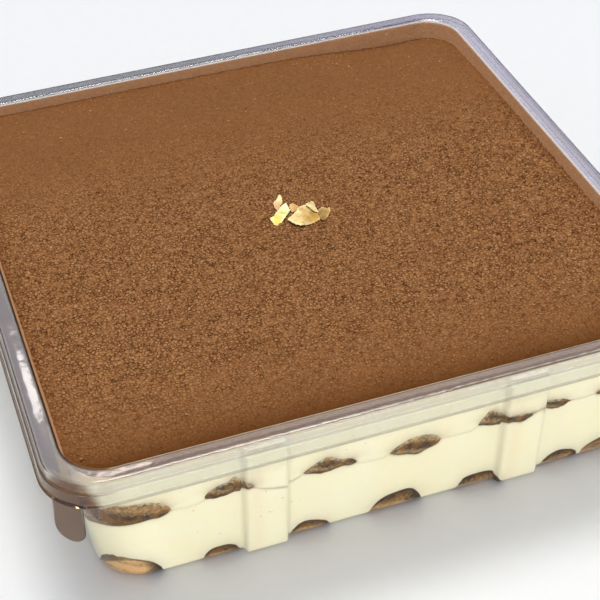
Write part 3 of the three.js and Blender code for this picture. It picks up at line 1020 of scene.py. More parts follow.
@dataclass(frozen=True)
class ClearTub:
    """The tub: a floor, leaning walls with two ribs on each side, a flat crest, and a skirt with a step and
    a turned-out lip, all one sheet, with the opening tab fused to the lip."""

    shape: TubShape
    finish: ClearPet = ClearPet("clear_pet_sheet")
    row_step: float = 1.4  # mm between the section's points
    arc_points: int = 10
    corner_steps: int = 12
    crest_fall: float = 0.04  # mm that the crest falls from its middle to its edges
    tab_width: float = 8.3
    tab_length: float = 12.4
    tab_lean: float = 3.0  # degrees
    tab_inset: float = 0.75  # behind the lip's edge
    floor_strip: float = 6.0  # of the flat floor that belongs to the section
    wall_top_rounding: float = 3.0
    crest_taper: float = 0.1  # by which the crest's corner stands in from its half width
    lip_rounding: float = 0.7
    beside: float = 0.05  # from an arc's end to the point that keeps the straight's shading flat
    clearance: float = 0.3  # least distance from an even point to one of an arc's
    rib_start: float = 2.5  # from the section's first point, over which the ribs reach their full depth

    def section(self) -> Array:
        """Traces the upper face of the sheet from the floor to the lip.

        The path's corners are rounded by arcs. Each arc starts and ends at the radius times the tangent
        of half the turn from its corner, and a point close by on the straight keeps that stretch's shading
        flat. The crest falls by the square of the distance from its middle.

        Returns:
            Half widths and heights, one point in each row.
        """
        shape = self.shape
        crest = shape.crest_half
        inner_crest = crest - shape.crest_width
        skirt = crest + shape.skirt_lean
        lower = skirt + shape.step_out
        path = np.array(
            [
                (shape.wall_half(0.0) - self.floor_strip, shape.sheet, 0.0),
                (shape.wall_half(shape.sheet), shape.sheet, shape.foot_rounding),
                (shape.wall_top_half, shape.wall_top, self.wall_top_rounding),
                (inner_crest, shape.height, shape.crest_rounding),
                (crest - self.crest_taper, shape.height, shape.crest_rounding),
                (skirt, shape.step_height, shape.step_rounding),
                (lower, shape.step_height - shape.step_out, shape.step_rounding),
                (lower + shape.skirt_lean, shape.skirt_end + shape.lip_out, self.lip_rounding),
                (shape.lip_half, shape.skirt_end, 0.0),
            ]
        )
        points, radii = path[:, :2], path[1:-1, 2]
        runs = np.diff(points, axis=0)
        runs /= np.linalg.norm(runs, axis=1, keepdims=True)
        points[-1] -= runs[-1] * shape.sheet / 2
        before, after = runs[:-1], runs[1:]
        cross = before[:, 0] * after[:, 1] - before[:, 1] * after[:, 0]
        turn = np.arctan2(cross, (before * after).sum(axis=1))
        starts = points[1:-1] - before * (radii * np.tan(np.abs(turn) / 2))[:, None]
        sideways = np.stack([-before[:, 1], before[:, 0]], axis=1) * np.sign(turn)[:, None]
        angle = np.abs(turn)[:, None] * np.linspace(0.0, 1.0, self.arc_points)
        reach = radii[:, None, None]
        arcs = (
            starts[:, None]
            + reach * np.sin(angle)[..., None] * before[:, None]
            + reach * (1 - np.cos(angle))[..., None] * sideways[:, None]
        )
        rounded = np.vstack([points[:1], arcs.reshape(-1, 2), points[-1:]])
        travel = np.concatenate([[0.0], np.cumsum(np.linalg.norm(np.diff(rounded, axis=0), axis=1))])
        ahead = travel[1 : -1 : self.arc_points] - self.beside
        behind = travel[self.arc_points :: self.arc_points] + self.beside
        even = np.arange(0.0, travel[-1], self.row_step)
        even = even[np.abs(even[:, None] - travel).min(axis=1) > self.clearance]
        wanted = np.unique(np.concatenate([travel, ahead, behind, even]))
        section = np.stack([np.interp(wanted, travel, rounded[:, i]) for i in range(2)], axis=1)
        across = (section[:, 0] - crest + shape.crest_width / 2) / (shape.crest_width / 2 - 0.9)
        on_crest = smoothstep(shape.height - 0.7, shape.height - 0.1, section[:, 1])
        section[:, 1] -= self.crest_fall * np.minimum(across**2, 1.0) * on_crest
        return section

    def sheet_rings(self) -> tuple[Array, Array, Array]:
        """Lays both faces of the sheet round the tub.

        The lower face is the upper one moved by the sheet's thickness at right angles to the section, and
        half a circle joins them at the lip.

        Returns:
            Their x, y and z, with one ring in each row.
        """
        shape = self.shape
        upper = self.section()
        slope = np.gradient(upper, axis=0)
        slope /= np.linalg.norm(slope, axis=1, keepdims=True)
        normal = np.stack([slope[:, 1], -slope[:, 0]], axis=1)
        lower = upper + normal * shape.sheet
        round_half = shape.sheet / 2
        angle = np.linspace(math.pi, 0.0, 9)[1:-1, None]
        centre = upper[-1] + normal[-1] * round_half
        lip = centre + round_half * (slope[-1] * np.sin(angle) - normal[-1] * np.cos(angle))
        section = np.concatenate([lower, lip, upper[::-1]])
        corner = self.corner_of(upper)
        lip_corner = corner[-1] + lip[:, 0] - upper[-1, 0]
        corners = np.concatenate([corner + lower[:, 0] - upper[:, 0], lip_corner, corner[::-1]])
        under_crest = upper[:, 0] < shape.wall_top_half + 0.5
        on_wall = smoothstep(0.0, self.rib_start, upper[:, 0] - upper[0, 0]) * under_crest
        depth = shape.rib_depth(upper[:, 1]) * on_wall
        rib = np.concatenate([depth, np.zeros(len(lip)), depth[::-1]])
        ramp = np.linspace(-0.9, 0.9, 8)
        feet = [shape.rib_at + side * (shape.rib_base + shape.rib_face) / 4 for side in (-1, 1)]
        fine = np.concatenate([sign * (foot_at + ramp) for sign in (-1, 1) for foot_at in feet])
        places = np.unique(np.round(np.concatenate([fine, np.linspace(-1, 1, 33) * shape.rib_zone]), 2))
        stations = WallStations.around(shape, places, 4, self.corner_steps)
        x, y = stations.place(section[:, :1], corners[:, None], rib[:, None])
        return x, y, np.broadcast_to(section[:, 1:], x.shape)

    def corner_of(self, upper: Array) -> Array:
        """Works out the corners' radius in plan: it grows outwards over the crest.

        Args:
            upper: The section's points.

        Returns:
            A radius for each point.
        """
        shape = self.shape
        inner_crest = shape.crest_half - shape.crest_width
        _, wall = shape.ring_at(np.minimum(upper[:, 1], shape.wall_top), 0.0)
        spread = (shape.crest_corner - shape.rim_corner) / shape.crest_width
        rim = shape.rim_corner + (upper[:, 0] - inner_crest) * spread
        drawn_in = np.maximum(shape.wall_half(0.0) - upper[:, 0] - 2.6, 0.0)
        inner = np.minimum(wall, shape.floor_corner) - drawn_in
        return np.where(upper[:, 0] > shape.wall_top_half, np.maximum(rim, shape.rim_corner), inner)

    def tongue(self, inset: float) -> Array:
        """Outlines the tab: a strip that ends in half a circle.

        Args:
            inset: How far the outline is drawn in.

        Returns:
            Its points from the top right: across the tab, and up from its top, so below 0.
        """
        radius = self.tab_width / 2 - inset
        angle = np.linspace(math.pi, 2 * math.pi, 31)[:, None]
        arc = radius * np.hstack([np.cos(angle), np.sin(angle)]) + (0.0, self.tab_width / 2 - self.tab_length)
        return np.vstack([(radius, -inset), (-radius, -inset), arc])

    def tab(self, material: Material) -> Object:
        """Makes the opening tab: a tongue as thick as the sheet that leans out a little.

        Its outline is drawn in by rings across each face, and half a circle rounds its edge. The tongue
        hangs across the corner's diagonal.

        Args:
            material: The sheet's finish.

        Returns:
            The tab.
        """
        round_half = self.shape.sheet / 2
        angle = np.linspace(-math.pi / 2, math.pi / 2, 9)
        inner = np.array([3.6, 2.6, 1.6, 0.9, 0.5, 0.3])
        insets = np.concatenate([inner, round_half * (1 - np.cos(angle)), inner[::-1]])
        inside = np.full(len(inner), round_half)
        depths = np.concatenate([-inside, round_half * np.sin(angle), inside])[:, None]
        strips = np.stack([self.tongue(inset) for inset in insets])
        lean = math.radians(self.tab_lean)
        lip_corner = self.shape.crest_corner + self.shape.lip_half - self.shape.crest_half
        edge = self.shape.lip_half - lip_corner
        diagonal = edge * math.sqrt(2) + lip_corner - self.tab_inset
        depths = depths - round_half
        across, up = strips[..., 0], strips[..., 1]
        outwards = diagonal - up * math.sin(lean) + depths * math.cos(lean)
        z = self.shape.skirt_end + self.shape.lip_out / 2 + up * math.cos(lean) + depths * math.sin(lean)
        x, y = (across - outwards) * math.sqrt(0.5), -(across + outwards) * math.sqrt(0.5)
        skin = Skin()
        rings = skin.put(x, y, z)
        skin.cover(rings, closed=True)
        for row, turned in ((0, True), (-1, False)):
            middle = skin.put(x[row].mean(), y[row].mean(), z[row].mean()).item()
            skin.fan(rings[row], middle, turned=turned)
        return skin.piece("opening_tab", material)

    def build(self) -> list[Object]:
        """Builds the tub and joins the tab to it.

        Returns:
            The tub.
        """
        x, y, z = self.sheet_rings()
        skin = Skin()
        rings = skin.put(x, y, z)
        skin.cover(rings, closed=True)
        for row, level, turned in ((0, 0.0, True), (-1, self.shape.sheet, False)):
            shares = np.array([0.9, 0.6, 0.3])[:, None]
            inner = skin.put(x[row] * shares, y[row] * shares, np.full((3, x.shape[1]), level))
            band = np.vstack([rings[row][None], inner])
            skin.cover(band[::-1] if turned else band, closed=True)
            skin.fan(inner[-1], skin.put(0.0, 0.0, level).item(), turned=turned)
        material = self.finish.material()
        tub = skin.piece("clear_tub", material)
        tab = self.tab(material)
        union = tub.modifiers.new("tab", "BOOLEAN")
        union.operation, union.solver, union.object = "UNION", "MANIFOLD", tab
        graph = bpy.context.evaluated_depsgraph_get()
        joined = bpy.data.meshes.new_from_object(tub.evaluated_get(graph), depsgraph=graph)
        tub.modifiers.clear()
        tub.data = joined
        tub.data.name = "clear_tub"
        bpy.data.objects.remove(tab)
        return [settle(tub, "clear_tub", "tub")]


# ---- Ladyfingers ----


class Row(enum.Enum):
    """The two rows of ladyfingers."""

    BOTTOM = "bottom"
    MIDDLE = "middle"


@dataclass(frozen=True)
class Ladyfinger:
    """One ladyfinger, which runs from the front wall to the back wall."""

    row: Row
    number: int
    x: float  # of its middle
    patch: tuple[Pair, ...]  # outline that its end presses on the wall, along and height
    foot: float = 0.22  # lowest height of a patch of the bottom row
    foot_edge: float = 0.24  # the same at its two ends

    @property
    def golden(self) -> float:
        """How golden its pressed end is: the first one's end kept clear of the coffee."""
        return 1.0 if self.number == 1 else 0.5

    @property
    def node(self) -> str:
        """Name of the frame's node."""
        return f"ladyfinger_{self.row.value}_{self.number}"

    def outline(self, count: int, side: Side) -> Array:
        """Gives the outline of the patch on the front or the back wall, as places along it and heights.

        The patch on the back wall is the front one seen from behind, with its places mirrored.

        Args:
            count: Number of points.
            side: The front or the back.

        Returns:
            The outline, anticlockwise as seen from outside.
        """
        corners = np.array(self.patch)
        if self.row is Row.BOTTOM:
            heights = (self.foot_edge, self.foot, self.foot_edge)
            feet = np.array([*zip((corners[-1, 0], corners[:, 0].mean(), corners[0, 0]), heights)])
            corners = np.vstack([corners, feet])[::-1]
        curve = smooth_outline(corners, count)
        curve[:, 1] = np.maximum(curve[:, 1], self.foot)
        if side is Side.BACK:
            curve[:, 0] *= -1
            curve = np.roll(curve[::-1], 1 - int(np.argmax(curve[::-1, 0])), axis=0)
        return curve


# Each ladyfinger's middle, and the outline of its patch: domes from left to right in the bottom row, and
# closed outlines, anticlockwise, in the middle row.
BOTTOM_ROW = (
    (-66.5, (
        (-78.6, 1.0), (-76.8, 3.2), (-74.8, 5.3), (-72.5, 7.0), (-69.6, 8.2), (-66.4, 7.9), (-63.0, 5.4),
        (-60.4, 1.0),
    )),
    (-45.2, ((-50.6, 1.0), (-48.3, 4.0), (-45.8, 4.5), (-43.0, 3.9), (-40.6, 1.0))),
    (-23.2, ((-27.8, 1.2), (-26.4, 3.0), (-24.7, 4.7), (-22.4, 5.0), (-18.5, 3.1), (-16.9, 1.1))),
    (0.8, ((-6.4, 1.3), (-5.2, 3.4), (-3.1, 5.5), (-0.2, 6.5), (4.2, 6.8), (6.2, 4.9), (8.0, 1.1))),
    (23.6, ((17.4, 1.0), (18.8, 2.9), (20.1, 4.7), (23.6, 5.1), (26.9, 4.6), (28.9, 2.6), (30.2, 1.0))),
    (45.8, ((41.3, 1.0), (42.6, 2.6), (44.5, 4.4), (47.0, 5.2), (49.8, 4.2), (51.4, 3.0), (52.2, 1.0))),
    (66.5, ((53.0, 1.0), (54.0, 3.8), (58.5, 5.9), (63.0, 7.0), (70.0, 7.3), (76.0, 6.2), (80.5, 2.0))),
)
MIDDLE_ROW = (
    (-66.5, (
        (-57.7, 24.2), (-59.0, 26.5), (-61.3, 28.2), (-66.8, 29.6), (-72.0, 30.4), (-78.0, 30.2),
        (-84.0, 28.0), (-86.0, 23.5), (-83.0, 19.4), (-79.2, 20.0), (-76.0, 21.6), (-70.7, 22.4),
        (-62.9, 22.9), (-60.3, 22.6),
    )),
    (-43.8, (
        (-37.5, 27.1), (-38.6, 28.7), (-40.4, 28.6), (-41.9, 29.9), (-43.3, 28.5), (-45.9, 27.9),
        (-48.6, 25.8), (-47.3, 24.7), (-45.1, 24.5), (-42.4, 25.4), (-40.7, 25.0), (-39.2, 26.4),
    )),
    (-18.6, (
        (-10.7, 23.4), (-12.4, 25.0), (-14.9, 25.6), (-17.6, 27.8), (-19.0, 27.5), (-21.2, 26.2),
        (-23.7, 24.4), (-21.2, 23.5), (-18.6, 22.8), (-14.6, 23.6), (-12.4, 22.9),
    )),
    (4.4, (
        (11.3, 23.3), (9.7, 25.3), (6.7, 26.3), (3.5, 26.1), (0.7, 24.7), (-1.3, 22.9), (0.8, 21.6),
        (2.8, 21.2), (5.7, 20.1), (8.1, 21.1), (10.7, 22.0),
    )),
    (27.0, (
        (35.6, 26.0), (31.5, 26.9), (28.6, 26.9), (27.3, 27.0), (26.2, 28.2), (24.9, 28.8), (23.9, 27.4),
        (22.4, 25.0), (24.2, 24.2), (27.0, 23.4), (29.4, 24.8), (32.6, 24.0), (34.4, 24.7),
    )),
    (47.4, (
        (45.4, 24.7), (44.4, 25.7), (42.2, 26.2), (40.4, 26.9), (39.2, 27.2), (39.6, 25.8), (40.8, 24.4),
        (42.5, 23.6), (44.6, 23.8),
    )),
    (66.8, (
        (82.0, 24.0), (80.0, 27.4), (74.0, 29.2), (66.0, 28.8), (59.0, 27.2), (54.3, 24.9), (58.0, 23.6),
        (64.0, 23.0), (71.0, 23.2), (78.0, 22.4),
    )),
)


@dataclass(frozen=True)
class LadyfingerRows:
    """Both rows of ladyfingers. Each is a soft bar whose two ends are pressed flat against the walls."""

    shape: TubShape
    finish: SoakedSponge = SoakedSponge("coffee_soaked_sponge")
    half_width: float = 9.7
    squareness: float = 2.6  # exponent of the section's outline
    end_length: float = 9.0
    reach: float = 0.32  # how far the ends go into the sheet, a little past the cream
    flank_reach: float = 0.08  # the same for the bottom row's flanks, which the cream covers
    sides: int = 96  # points round a bar
    uneven: float = 0.35  # mm that the bars' flanks wander
    painted_shade_edge: float = 0.5  # mm that the painted shade along the bottom ends' upper edge goes in
    dark_foot: float = 0.6  # mm that the middle ends' dark lower edge goes in
    veil_edge: float = 0.6  # mm that the cream's veil goes in from their upper edge
    veil: float = 0.35  # how thick it is there
    golden_foot: float = 0.55  # how golden the bottom row is on the floor

    @property
    def fingers(self) -> list[Ladyfinger]:
        """All the ladyfingers."""
        rows = ((Row.BOTTOM, BOTTOM_ROW), (Row.MIDDLE, MIDDLE_ROW))
        return [Ladyfinger(row, n + 1, x, patch) for row, bars in rows for n, (x, patch) in enumerate(bars)]

    def bar_rings(self, finger: Ladyfinger, y: Array) -> tuple[Array, Array, Array]:
        """Lays superellipses across a ladyfinger: |x/a|^n + |z/b|^n = 1, with a wandering a and b.

        Args:
            finger: The ladyfinger.
            y: Where the rings are.

        Returns:
            The rings' x, y and z.
        """
        low, high = (corner.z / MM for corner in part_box(finger.node))
        if finger.row is Row.BOTTOM:
            low = -0.6
        angle = np.linspace(0.0, 2 * math.pi, self.sides, endpoint=False)
        across, up = (np.sign(f(angle)) * np.abs(f(angle)) ** (2 / self.squareness) for f in (np.cos, np.sin))
        seed = finger.number + 20 * list(Row).index(finger.row)
        wander = grain((len(y), self.sides), 2.0, 14.0, seed) * self.uneven
        x = finger.x + (self.half_width + wander) * across
        z = (low + high) / 2 + ((high - low) / 2 + wander) * up
        z = np.maximum(z, self.shape.sheet - self.reach + 0.04)
        reach = self.flank_reach if finger.row is Row.BOTTOM else self.reach
        x, held_y = self.shape.hold_inside(x, np.broadcast_to(y[:, None], x.shape), z, reach)
        return x, held_y, z

    def add_end(self, skin: Skin, finger: Ladyfinger, side: Side, bar: tuple) -> Array:
        """Adds one pressed end.

        The patch is a stack of rings from its middle out to its outline, all on the wall. From there the
        rings go over to the bar's own ring: in x and z by the square root of 1 - (1 - t)^2, and in y by t.

        Args:
            skin: The ladyfinger's skin.
            finger: The ladyfinger.
            side: The wall that the end is on.
            bar: The x, y and z of the bar's ring where the end is full.

        Returns:
            The rings' point numbers, from the middle of the patch to the last ring before the bar.
        """
        outline = finger.outline(self.sides, side)
        middle = outline.mean(axis=0)
        share = np.linspace(0.0, 1.0, 16)[1:, None]
        along = middle[0] + (outline[:, 0] - middle[0]) * share
        height = middle[1] + (outline[:, 1] - middle[1]) * share
        x, y = self.shape.on_wall(along, height, self.reach)
        span = outline[:, 1].max() - outline[:, 1].min()
        level = (height - outline[:, 1].min()) / span
        inside = -outline_distance(along, height, outline)
        rightward = (along - middle[0]) / np.ptp(outline[:, 0])
        above = smoothstep(-1.0, 1.5, height - middle[1])
        shades = self.end_shades(finger, level, rightward, inside, above)
        flip = -1 if side is Side.BACK else 1
        x, y = flip * x, flip * y
        cap = skin.put(x, y, height, **shades)
        centre_x, centre_y = self.shape.on_wall(middle[:1], middle[1:], self.reach)
        centre = skin.put(flip * centre_x, flip * centre_y, middle[1:], toast=shades["toast"][0].mean())
        skin.cover(cap, closed=True)
        skin.fan(cap[0], centre.item(), turned=True)
        t = np.array([0.03, 0.1, 0.25, 0.5, 0.75])[:, None]
        full = np.sqrt(1.0 - (1.0 - t) ** 2)
        neck_x = x[-1] + (bar[0] - x[-1]) * full
        neck_y = y[-1] + (bar[1] - y[-1]) * t
        neck_z = height[-1] + (bar[2] - height[-1]) * full
        least = self.flank_reach if finger.row is Row.BOTTOM else self.reach
        reach = self.reach + (least - self.reach) * full
        neck_x, neck_y = self.shape.hold_inside(neck_x, neck_y, neck_z, reach)
        neck = skin.put(neck_x, neck_y, neck_z, toast=0.2, dark=0.3)
        rings = np.vstack([cap[-1:], neck])
        skin.cover(rings, closed=True)
        return rings[-1]

    def end_shades(
        self,
        finger: Ladyfinger,
        level: Array,
        rightward: Array,
        inside: Array,
        above: Array,
    ) -> dict[str, Array]:
        """Works out how toasted, how dark and how veiled with cream a pressed end is.

        A bottom end is streaked by a sine of its height and place, golden at its left and low down, and dark
        at its right and along its upper edge. The golden low down is painted light from below as well as
        crumb the coffee hasn't reached, and the dark is painted shade. A middle end is dark along its lower
        edge and veiled along its upper one, both falling off inwards as an exponential.

        Args:
            finger: The ladyfinger.
            level: Height over the end's lowest place, as a share of its own height.
            rightward: Place right of its middle, as a share of its width.
            inside: Distance in from its outline.
            above: Share that rises from 0 to 1 past its middle's height.

        Returns:
            An array for each attribute.
        """
        if finger.row is Row.BOTTOM:
            streak = 0.5 + 0.5 * np.sin(13.0 * level + 5.0 * rightward + finger.number)
            # Golden low down: painted light from below, as well as crumb the coffee hasn't reached.
            low = 1.0 if finger.number == 1 else smoothstep(0.95, 0.35, level)
            toast = finger.golden * low * (0.6 + 0.4 * streak) * (1.0 - smoothstep(0.1, 0.45, rightward))
            # Painted shade along the upper edge and at the right end.
            edge = np.exp(-((inside / self.painted_shade_edge) ** 2)) * smoothstep(0.2, 0.6, level)
            dark = np.maximum(smoothstep(0.2, 0.5, rightward), 0.6 * edge)
            return {"toast": toast, "dark": np.minimum(dark, 1.0)}
        toast = 0.15 + 0.2 * np.sin(level * 9.0 + rightward * 5.0)
        dark = 0.5 * np.exp(-((inside / self.dark_foot) ** 2)) * (1 - smoothstep(0.2, 0.55, level))
        veil = self.veil * above * np.exp(-np.maximum(inside, 0.0) / self.veil_edge)
        return {"toast": toast, "dark": np.minimum(dark, 1.0), "veil": veil}

    def build(self) -> list[Object]:
        """Builds every ladyfinger.

        Returns:
            The ladyfingers, the bottom row first.
        """
        material = self.finish.material()
        made = []
        for finger in self.fingers:
            skin = Skin()
            wall_at = float(self.shape.wall_half(np.mean([z for _, z in finger.patch])))
            y = np.linspace(-1.0, 1.0, 25) * (wall_at - self.end_length)
            x, held_y, z = self.bar_rings(finger, y)
            toast = self.golden_foot * smoothstep(4.0, 1.0, z) if finger.row is Row.BOTTOM else 0.0
            bar = skin.put(x, held_y, z, toast=toast, dark=0.15)
            skin.cover(bar, closed=True)
            front = self.add_end(skin, finger, Side.FRONT, (x[0], held_y[0], z[0]))
            skin.cover(np.stack([front, bar[0]]), closed=True)
            mirrored = self.back_order()
            last = tuple(axis[-1][mirrored] for axis in (x, held_y, z))
            back = self.add_end(skin, finger, Side.BACK, last)
            skin.cover(np.stack([back, bar[-1][mirrored]]), closed=True)
            sponge = skin.piece(f"sponge_{finger.row.value}_{finger.number}", material)
            made.append(settle(sponge, "ladyfinger", finger.node))
        return made

    def back_order(self) -> Array:
        """Order of a bar's points as seen from behind: the angle a becomes 180 degrees less a."""
        return (self.sides // 2 - np.arange(self.sides)) % self.sides


# ---- Cream ----


@dataclass(frozen=True)
class CreamLayers:
    """The two layers of cream, pressed against the walls and meeting along a seam that sags between the
    ladyfingers."""

    shape: TubShape
    fingers: list[Ladyfinger]
    cocoa: "CocoaTop"
    finish: MascarponeCream = MascarponeCream("mascarpone_cream")
    reach: float = 0.2  # how far the cream goes into the sheet, so that no air shows
    spacing: float = 0.62  # mm between its points
    # Heights of the seam where it shows on the front wall, from left to right.
    seam_points: tuple[Pair, ...] = (
        (-90.0, 24.4), (-80.0, 24.0), (-60.0, 24.4), (-57.5, 24.2), (-54.0, 23.3), (-51.4, 23.6),
        (-48.7, 24.8), (-37.7, 26.8), (-35.1, 25.1), (-32.4, 24.2), (-29.5, 23.6), (-27.4, 22.6),
        (-23.5, 24.5), (-10.5, 22.9), (-7.2, 22.1), (-3.9, 22.0), (-1.1, 23.0), (11.7, 23.5),
        (15.6, 23.1), (19.9, 23.2), (22.6, 25.0), (35.3, 26.1), (38.6, 26.8), (45.3, 24.9),
        (49.9, 24.4), (54.4, 24.8), (80.0, 24.0), (90.0, 24.4),
    )
    strong_seams: tuple[float, ...] = (-31.0, 38.0)  # places where coffee has run along it
    seam_gap: float = 0.05  # mm from the seam to each layer's edge
    lip_shade: float = 0.28  # how shaded the cream is near the lip
    patch_shade: float = 0.22  # the same above the bottom row's patches
    patch_shade_reach: float = 2.6  # mm
    creep: float = 0.25  # mm that coffee has crept out of a patch
    creep_up: float = 1.15  # mm that it has crept further above one of the middle row's
    rib_reflection: float = 0.45  # how strong the painted warm reflection on the ribs' left feet is
    mid_height: float = 20.0  # where the points' spacing round the tub is measured
    mid_corner: float = 11.5  # the corners' radius there
    speck_clusters: tuple[Pair, ...] = ((-30.5, 16.5), (-10.0, 32.0))

    def stations(self) -> WallStations:
        """Spaces stations evenly round the tub.

        Returns:
            The stations.
        """
        zone = self.shape.rib_zone
        places = np.linspace(-zone, zone, round(2 * zone / self.spacing) + 1)
        straight = self.shape.wall_half(self.mid_height) - 11.4 - zone
        quarter = math.pi / 2 * self.mid_corner
        ends, corners = round(straight / self.spacing), round(quarter / self.spacing)
        return WallStations.around(self.shape, places, ends, corners)

    def seam_height(self, stations: WallStations) -> Array:
        """Runs the seam round the tub: through its points on the front, mirrored on the back, and gently
        waving on the left and right.

        Args:
            stations: The layer's stations.

        Returns:
            The seam's height at each.
        """
        half, corner = self.shape.ring_at(24.0, 0.0)
        heights = np.zeros(len(stations.base))
        points = np.array(self.seam_points)
        wave = grain((1, 400), 1.0, 26.0, 5)[0]
        for side in Side:
            along = stations.along(side, half, corner)
            here = np.abs(along) <= half - corner + corner * math.pi / 4 + 0.01
            if side in (Side.FRONT, Side.BACK):
                mirrored = along if side is Side.FRONT else -along
                level = np.interp(mirrored, points[:, 0], points[:, 1])
            else:
                waving = np.interp(along, np.arange(400) - 200.0, wave)
                level = 24.2 + 0.7 * waving * smoothstep(76, 60, abs(along))
            heights = np.where(here, level, heights)
        return heights

    def stains(self, stations: WallStations, z: Array) -> dict[str, Array]:
        """Works out where coffee, painted shade, the painted warm reflection on the ribs and specks show.

        Coffee is 1 in a patch and falls off outside it as exp(-(distance / width)^2), over a wide band
        above the middle row's patches and a narrow one elsewhere. Shade lies above the bottom row's.

        Args:
            stations: The layer's stations.
            z: Heights of its points on the wall.

        Returns:
            An array shaped like z for each attribute.
        """
        half, corner = self.shape.ring_at(z, self.reach)
        coffee, specks = np.zeros_like(z), np.full_like(z, 0.003)
        shade = self.lip_shade * smoothstep(29.0, 34.0, z)
        for side in (Side.FRONT, Side.BACK):
            along = stations.along(side, half, corner)
            for finger in self.fingers:
                outline = finger.outline(64, side)
                centre = outline.mean(axis=0)
                near = (np.abs(along - centre[0]) < 22) & (np.abs(z - centre[1]) < 14)
                distance = outline_distance(along[near], z[near], outline)
                above = smoothstep(-1.0, 1.5, z[near] - centre[1])
                out = np.maximum(distance, 0.0)
                if finger.row is Row.MIDDLE:
                    width = self.creep + self.creep_up * above
                    found = (0.92 - 0.4 * above) * np.exp(-out / width)
                else:
                    found = 0.35 * np.exp(-((out / self.creep) ** 2))
                    cast = self.patch_shade * above * np.exp(-((out / self.patch_shade_reach) ** 2))
                    shade[near] = np.maximum(shade[near], cast)
                coffee[near] = np.maximum(coffee[near], found)
            for place, height in self.speck_clusters:
                mirrored = place if side is Side.FRONT else -place
                specks += 0.16 * np.exp(-((along - mirrored) / 4.5) ** 2 - ((z - height) / 3.0) ** 2)
        for side in (Side.LEFT, Side.RIGHT):
            along = stations.along(side, half, corner)
            flank = np.exp(-(((z - 26.6) / 2.6) ** 4)) * (np.abs(along) < 66)
            clouds = grain((z.shape[0], z.shape[1]), self.spacing, 17.0, 31 + side.value)
            coffee = np.maximum(coffee, flank * smoothstep(-0.1, 1.1, clouds) * 0.8)
        # A warm reflection is painted on the left foot of each rib.
        left_foot = np.exp(-(((np.abs(stations.base) - self.shape.rib_at) / 4.5) ** 2))
        leftward = smoothstep(0.5, -3.0, stations.base - np.sign(stations.base) * self.shape.rib_at)
        rib_reflection = self.rib_reflection * left_foot * leftward * smoothstep(38.0, 30.0, z)
        return {"coffee": coffee, "shade": shade, "rib_reflection": rib_reflection, "specks": specks}

    def add_wall(self, skin: Skin, stations: WallStations, z: Array, seam: Array) -> Array:
        """Adds the part of a layer that lies against the wall.

        Args:
            skin: The layer's skin.
            stations: Its stations.
            z: Heights, in rows from bottom to top.
            seam: Distance of each point from the seam.

        Returns:
            The points' numbers.
        """
        reach = self.reach - 0.1 * np.exp(-((seam / 0.4) ** 2))
        half, corner = self.shape.ring_at(z, reach)
        x, y = stations.place(half, corner, self.shape.rib_depth(z))
        along = stations.along(Side.FRONT, half, corner)
        strong = sum(np.exp(-(((along - place) / 7.0) ** 2)) for place in self.strong_seams)
        line = (0.14 + 0.4 * strong) * np.exp(-((seam / 0.5) ** 2))
        return skin.put(x, y, z, seam=np.minimum(line, 1.0), **self.stains(stations, z))

    def close(self, skin: Skin, ring: Array, level: float, upwards: bool, sunk: float = 0.0) -> None:
        """Closes a layer's top or underside: rings shrink towards the middle and reach one level.

        Args:
            skin: The layer's skin.
            ring: Point numbers of the layer's edge.
            level: Height in the middle.
            upwards: Whether this is the layer's top.
            sunk: Share of the cocoa's hollow that this face follows.
        """
        edge_x, edge_y, edge_z = np.concatenate(skin.points)[ring].T
        shares = np.array([0.99, 0.97, 0.94, 0.9, 0.84, 0.76, 0.66, 0.5, 0.3])[:, None]
        x, y = edge_x * shares, edge_y * shares
        raised = edge_z + sunk * self.cocoa.sunk(edge_x, edge_y) - level
        heights = level + raised * np.maximum(shares * 10.0 - 9.0, 0.0) - sunk * self.cocoa.sunk(x, y)
        inner = skin.put(x, y, heights, specks=0.004)
        band = np.vstack([ring[None], inner])
        skin.cover(band if upwards else band[::-1], closed=True)
        skin.fan(inner[-1], skin.put(0.0, 0.0, level).item(), turned=not upwards)

    def build(self) -> list[Object]:
        """Builds both layers.

        Returns:
            The bed and the blanket.
        """
        stations = self.stations()
        seam = self.seam_height(stations)
        material = self.finish.material()
        bottom = self.shape.sheet - self.reach
        arc = np.linspace(0.02, 1.0, 9)
        foot = self.shape.foot_top - (self.shape.foot_rounding + self.reach) * np.cos(arc * math.pi / 2)
        near_seam = np.array([1.4, 0.8, 0.4, 0.15, 0.0])
        rise = seam - self.seam_gap - self.shape.foot_top
        share = np.linspace(0.0, 1.0, round(21.0 / self.spacing))[1:, None]
        steady = self.shape.foot_top + share * (rise - 1.8)
        last = seam - self.seam_gap - near_seam[:, None]
        lower = np.vstack([foot[:, None] + 0 * seam, steady, last])
        skin = Skin()
        wall = self.add_wall(skin, stations, lower, seam - lower)
        skin.cover(wall, closed=True)
        self.close(skin, wall[0], bottom, upwards=False)
        self.close(skin, wall[-1], float(seam.mean()), upwards=True)
        made = [settle(skin.piece("cream_bed", material), "cream", "cream_lower")]
        first = seam + self.seam_gap + near_seam[::-1, None]
        share = np.linspace(0.0, 1.0, round(17.0 / self.spacing) + 1)[1:, None]
        wall_x, wall_y = stations.place(*self.shape.ring_at(self.cocoa.underside, self.reach), 0.0)
        top = self.cocoa.underside + 0.1 - self.cocoa.sunk(wall_x, wall_y)
        steady = seam + 1.85 + share * (top - seam - 1.85)
        upper = np.vstack([first, steady])
        skin = Skin()
        wall = self.add_wall(skin, stations, upper, upper - seam)
        skin.cover(wall, closed=True)
        self.close(skin, wall[0], float(seam.mean()), upwards=False)
        self.close(skin, wall[-1], self.cocoa.underside - 0.2, upwards=True, sunk=1.0)
        made.append(settle(skin.piece("cream_blanket", material), "cream", "cream_upper"))
        return made


# ---- Cocoa ----


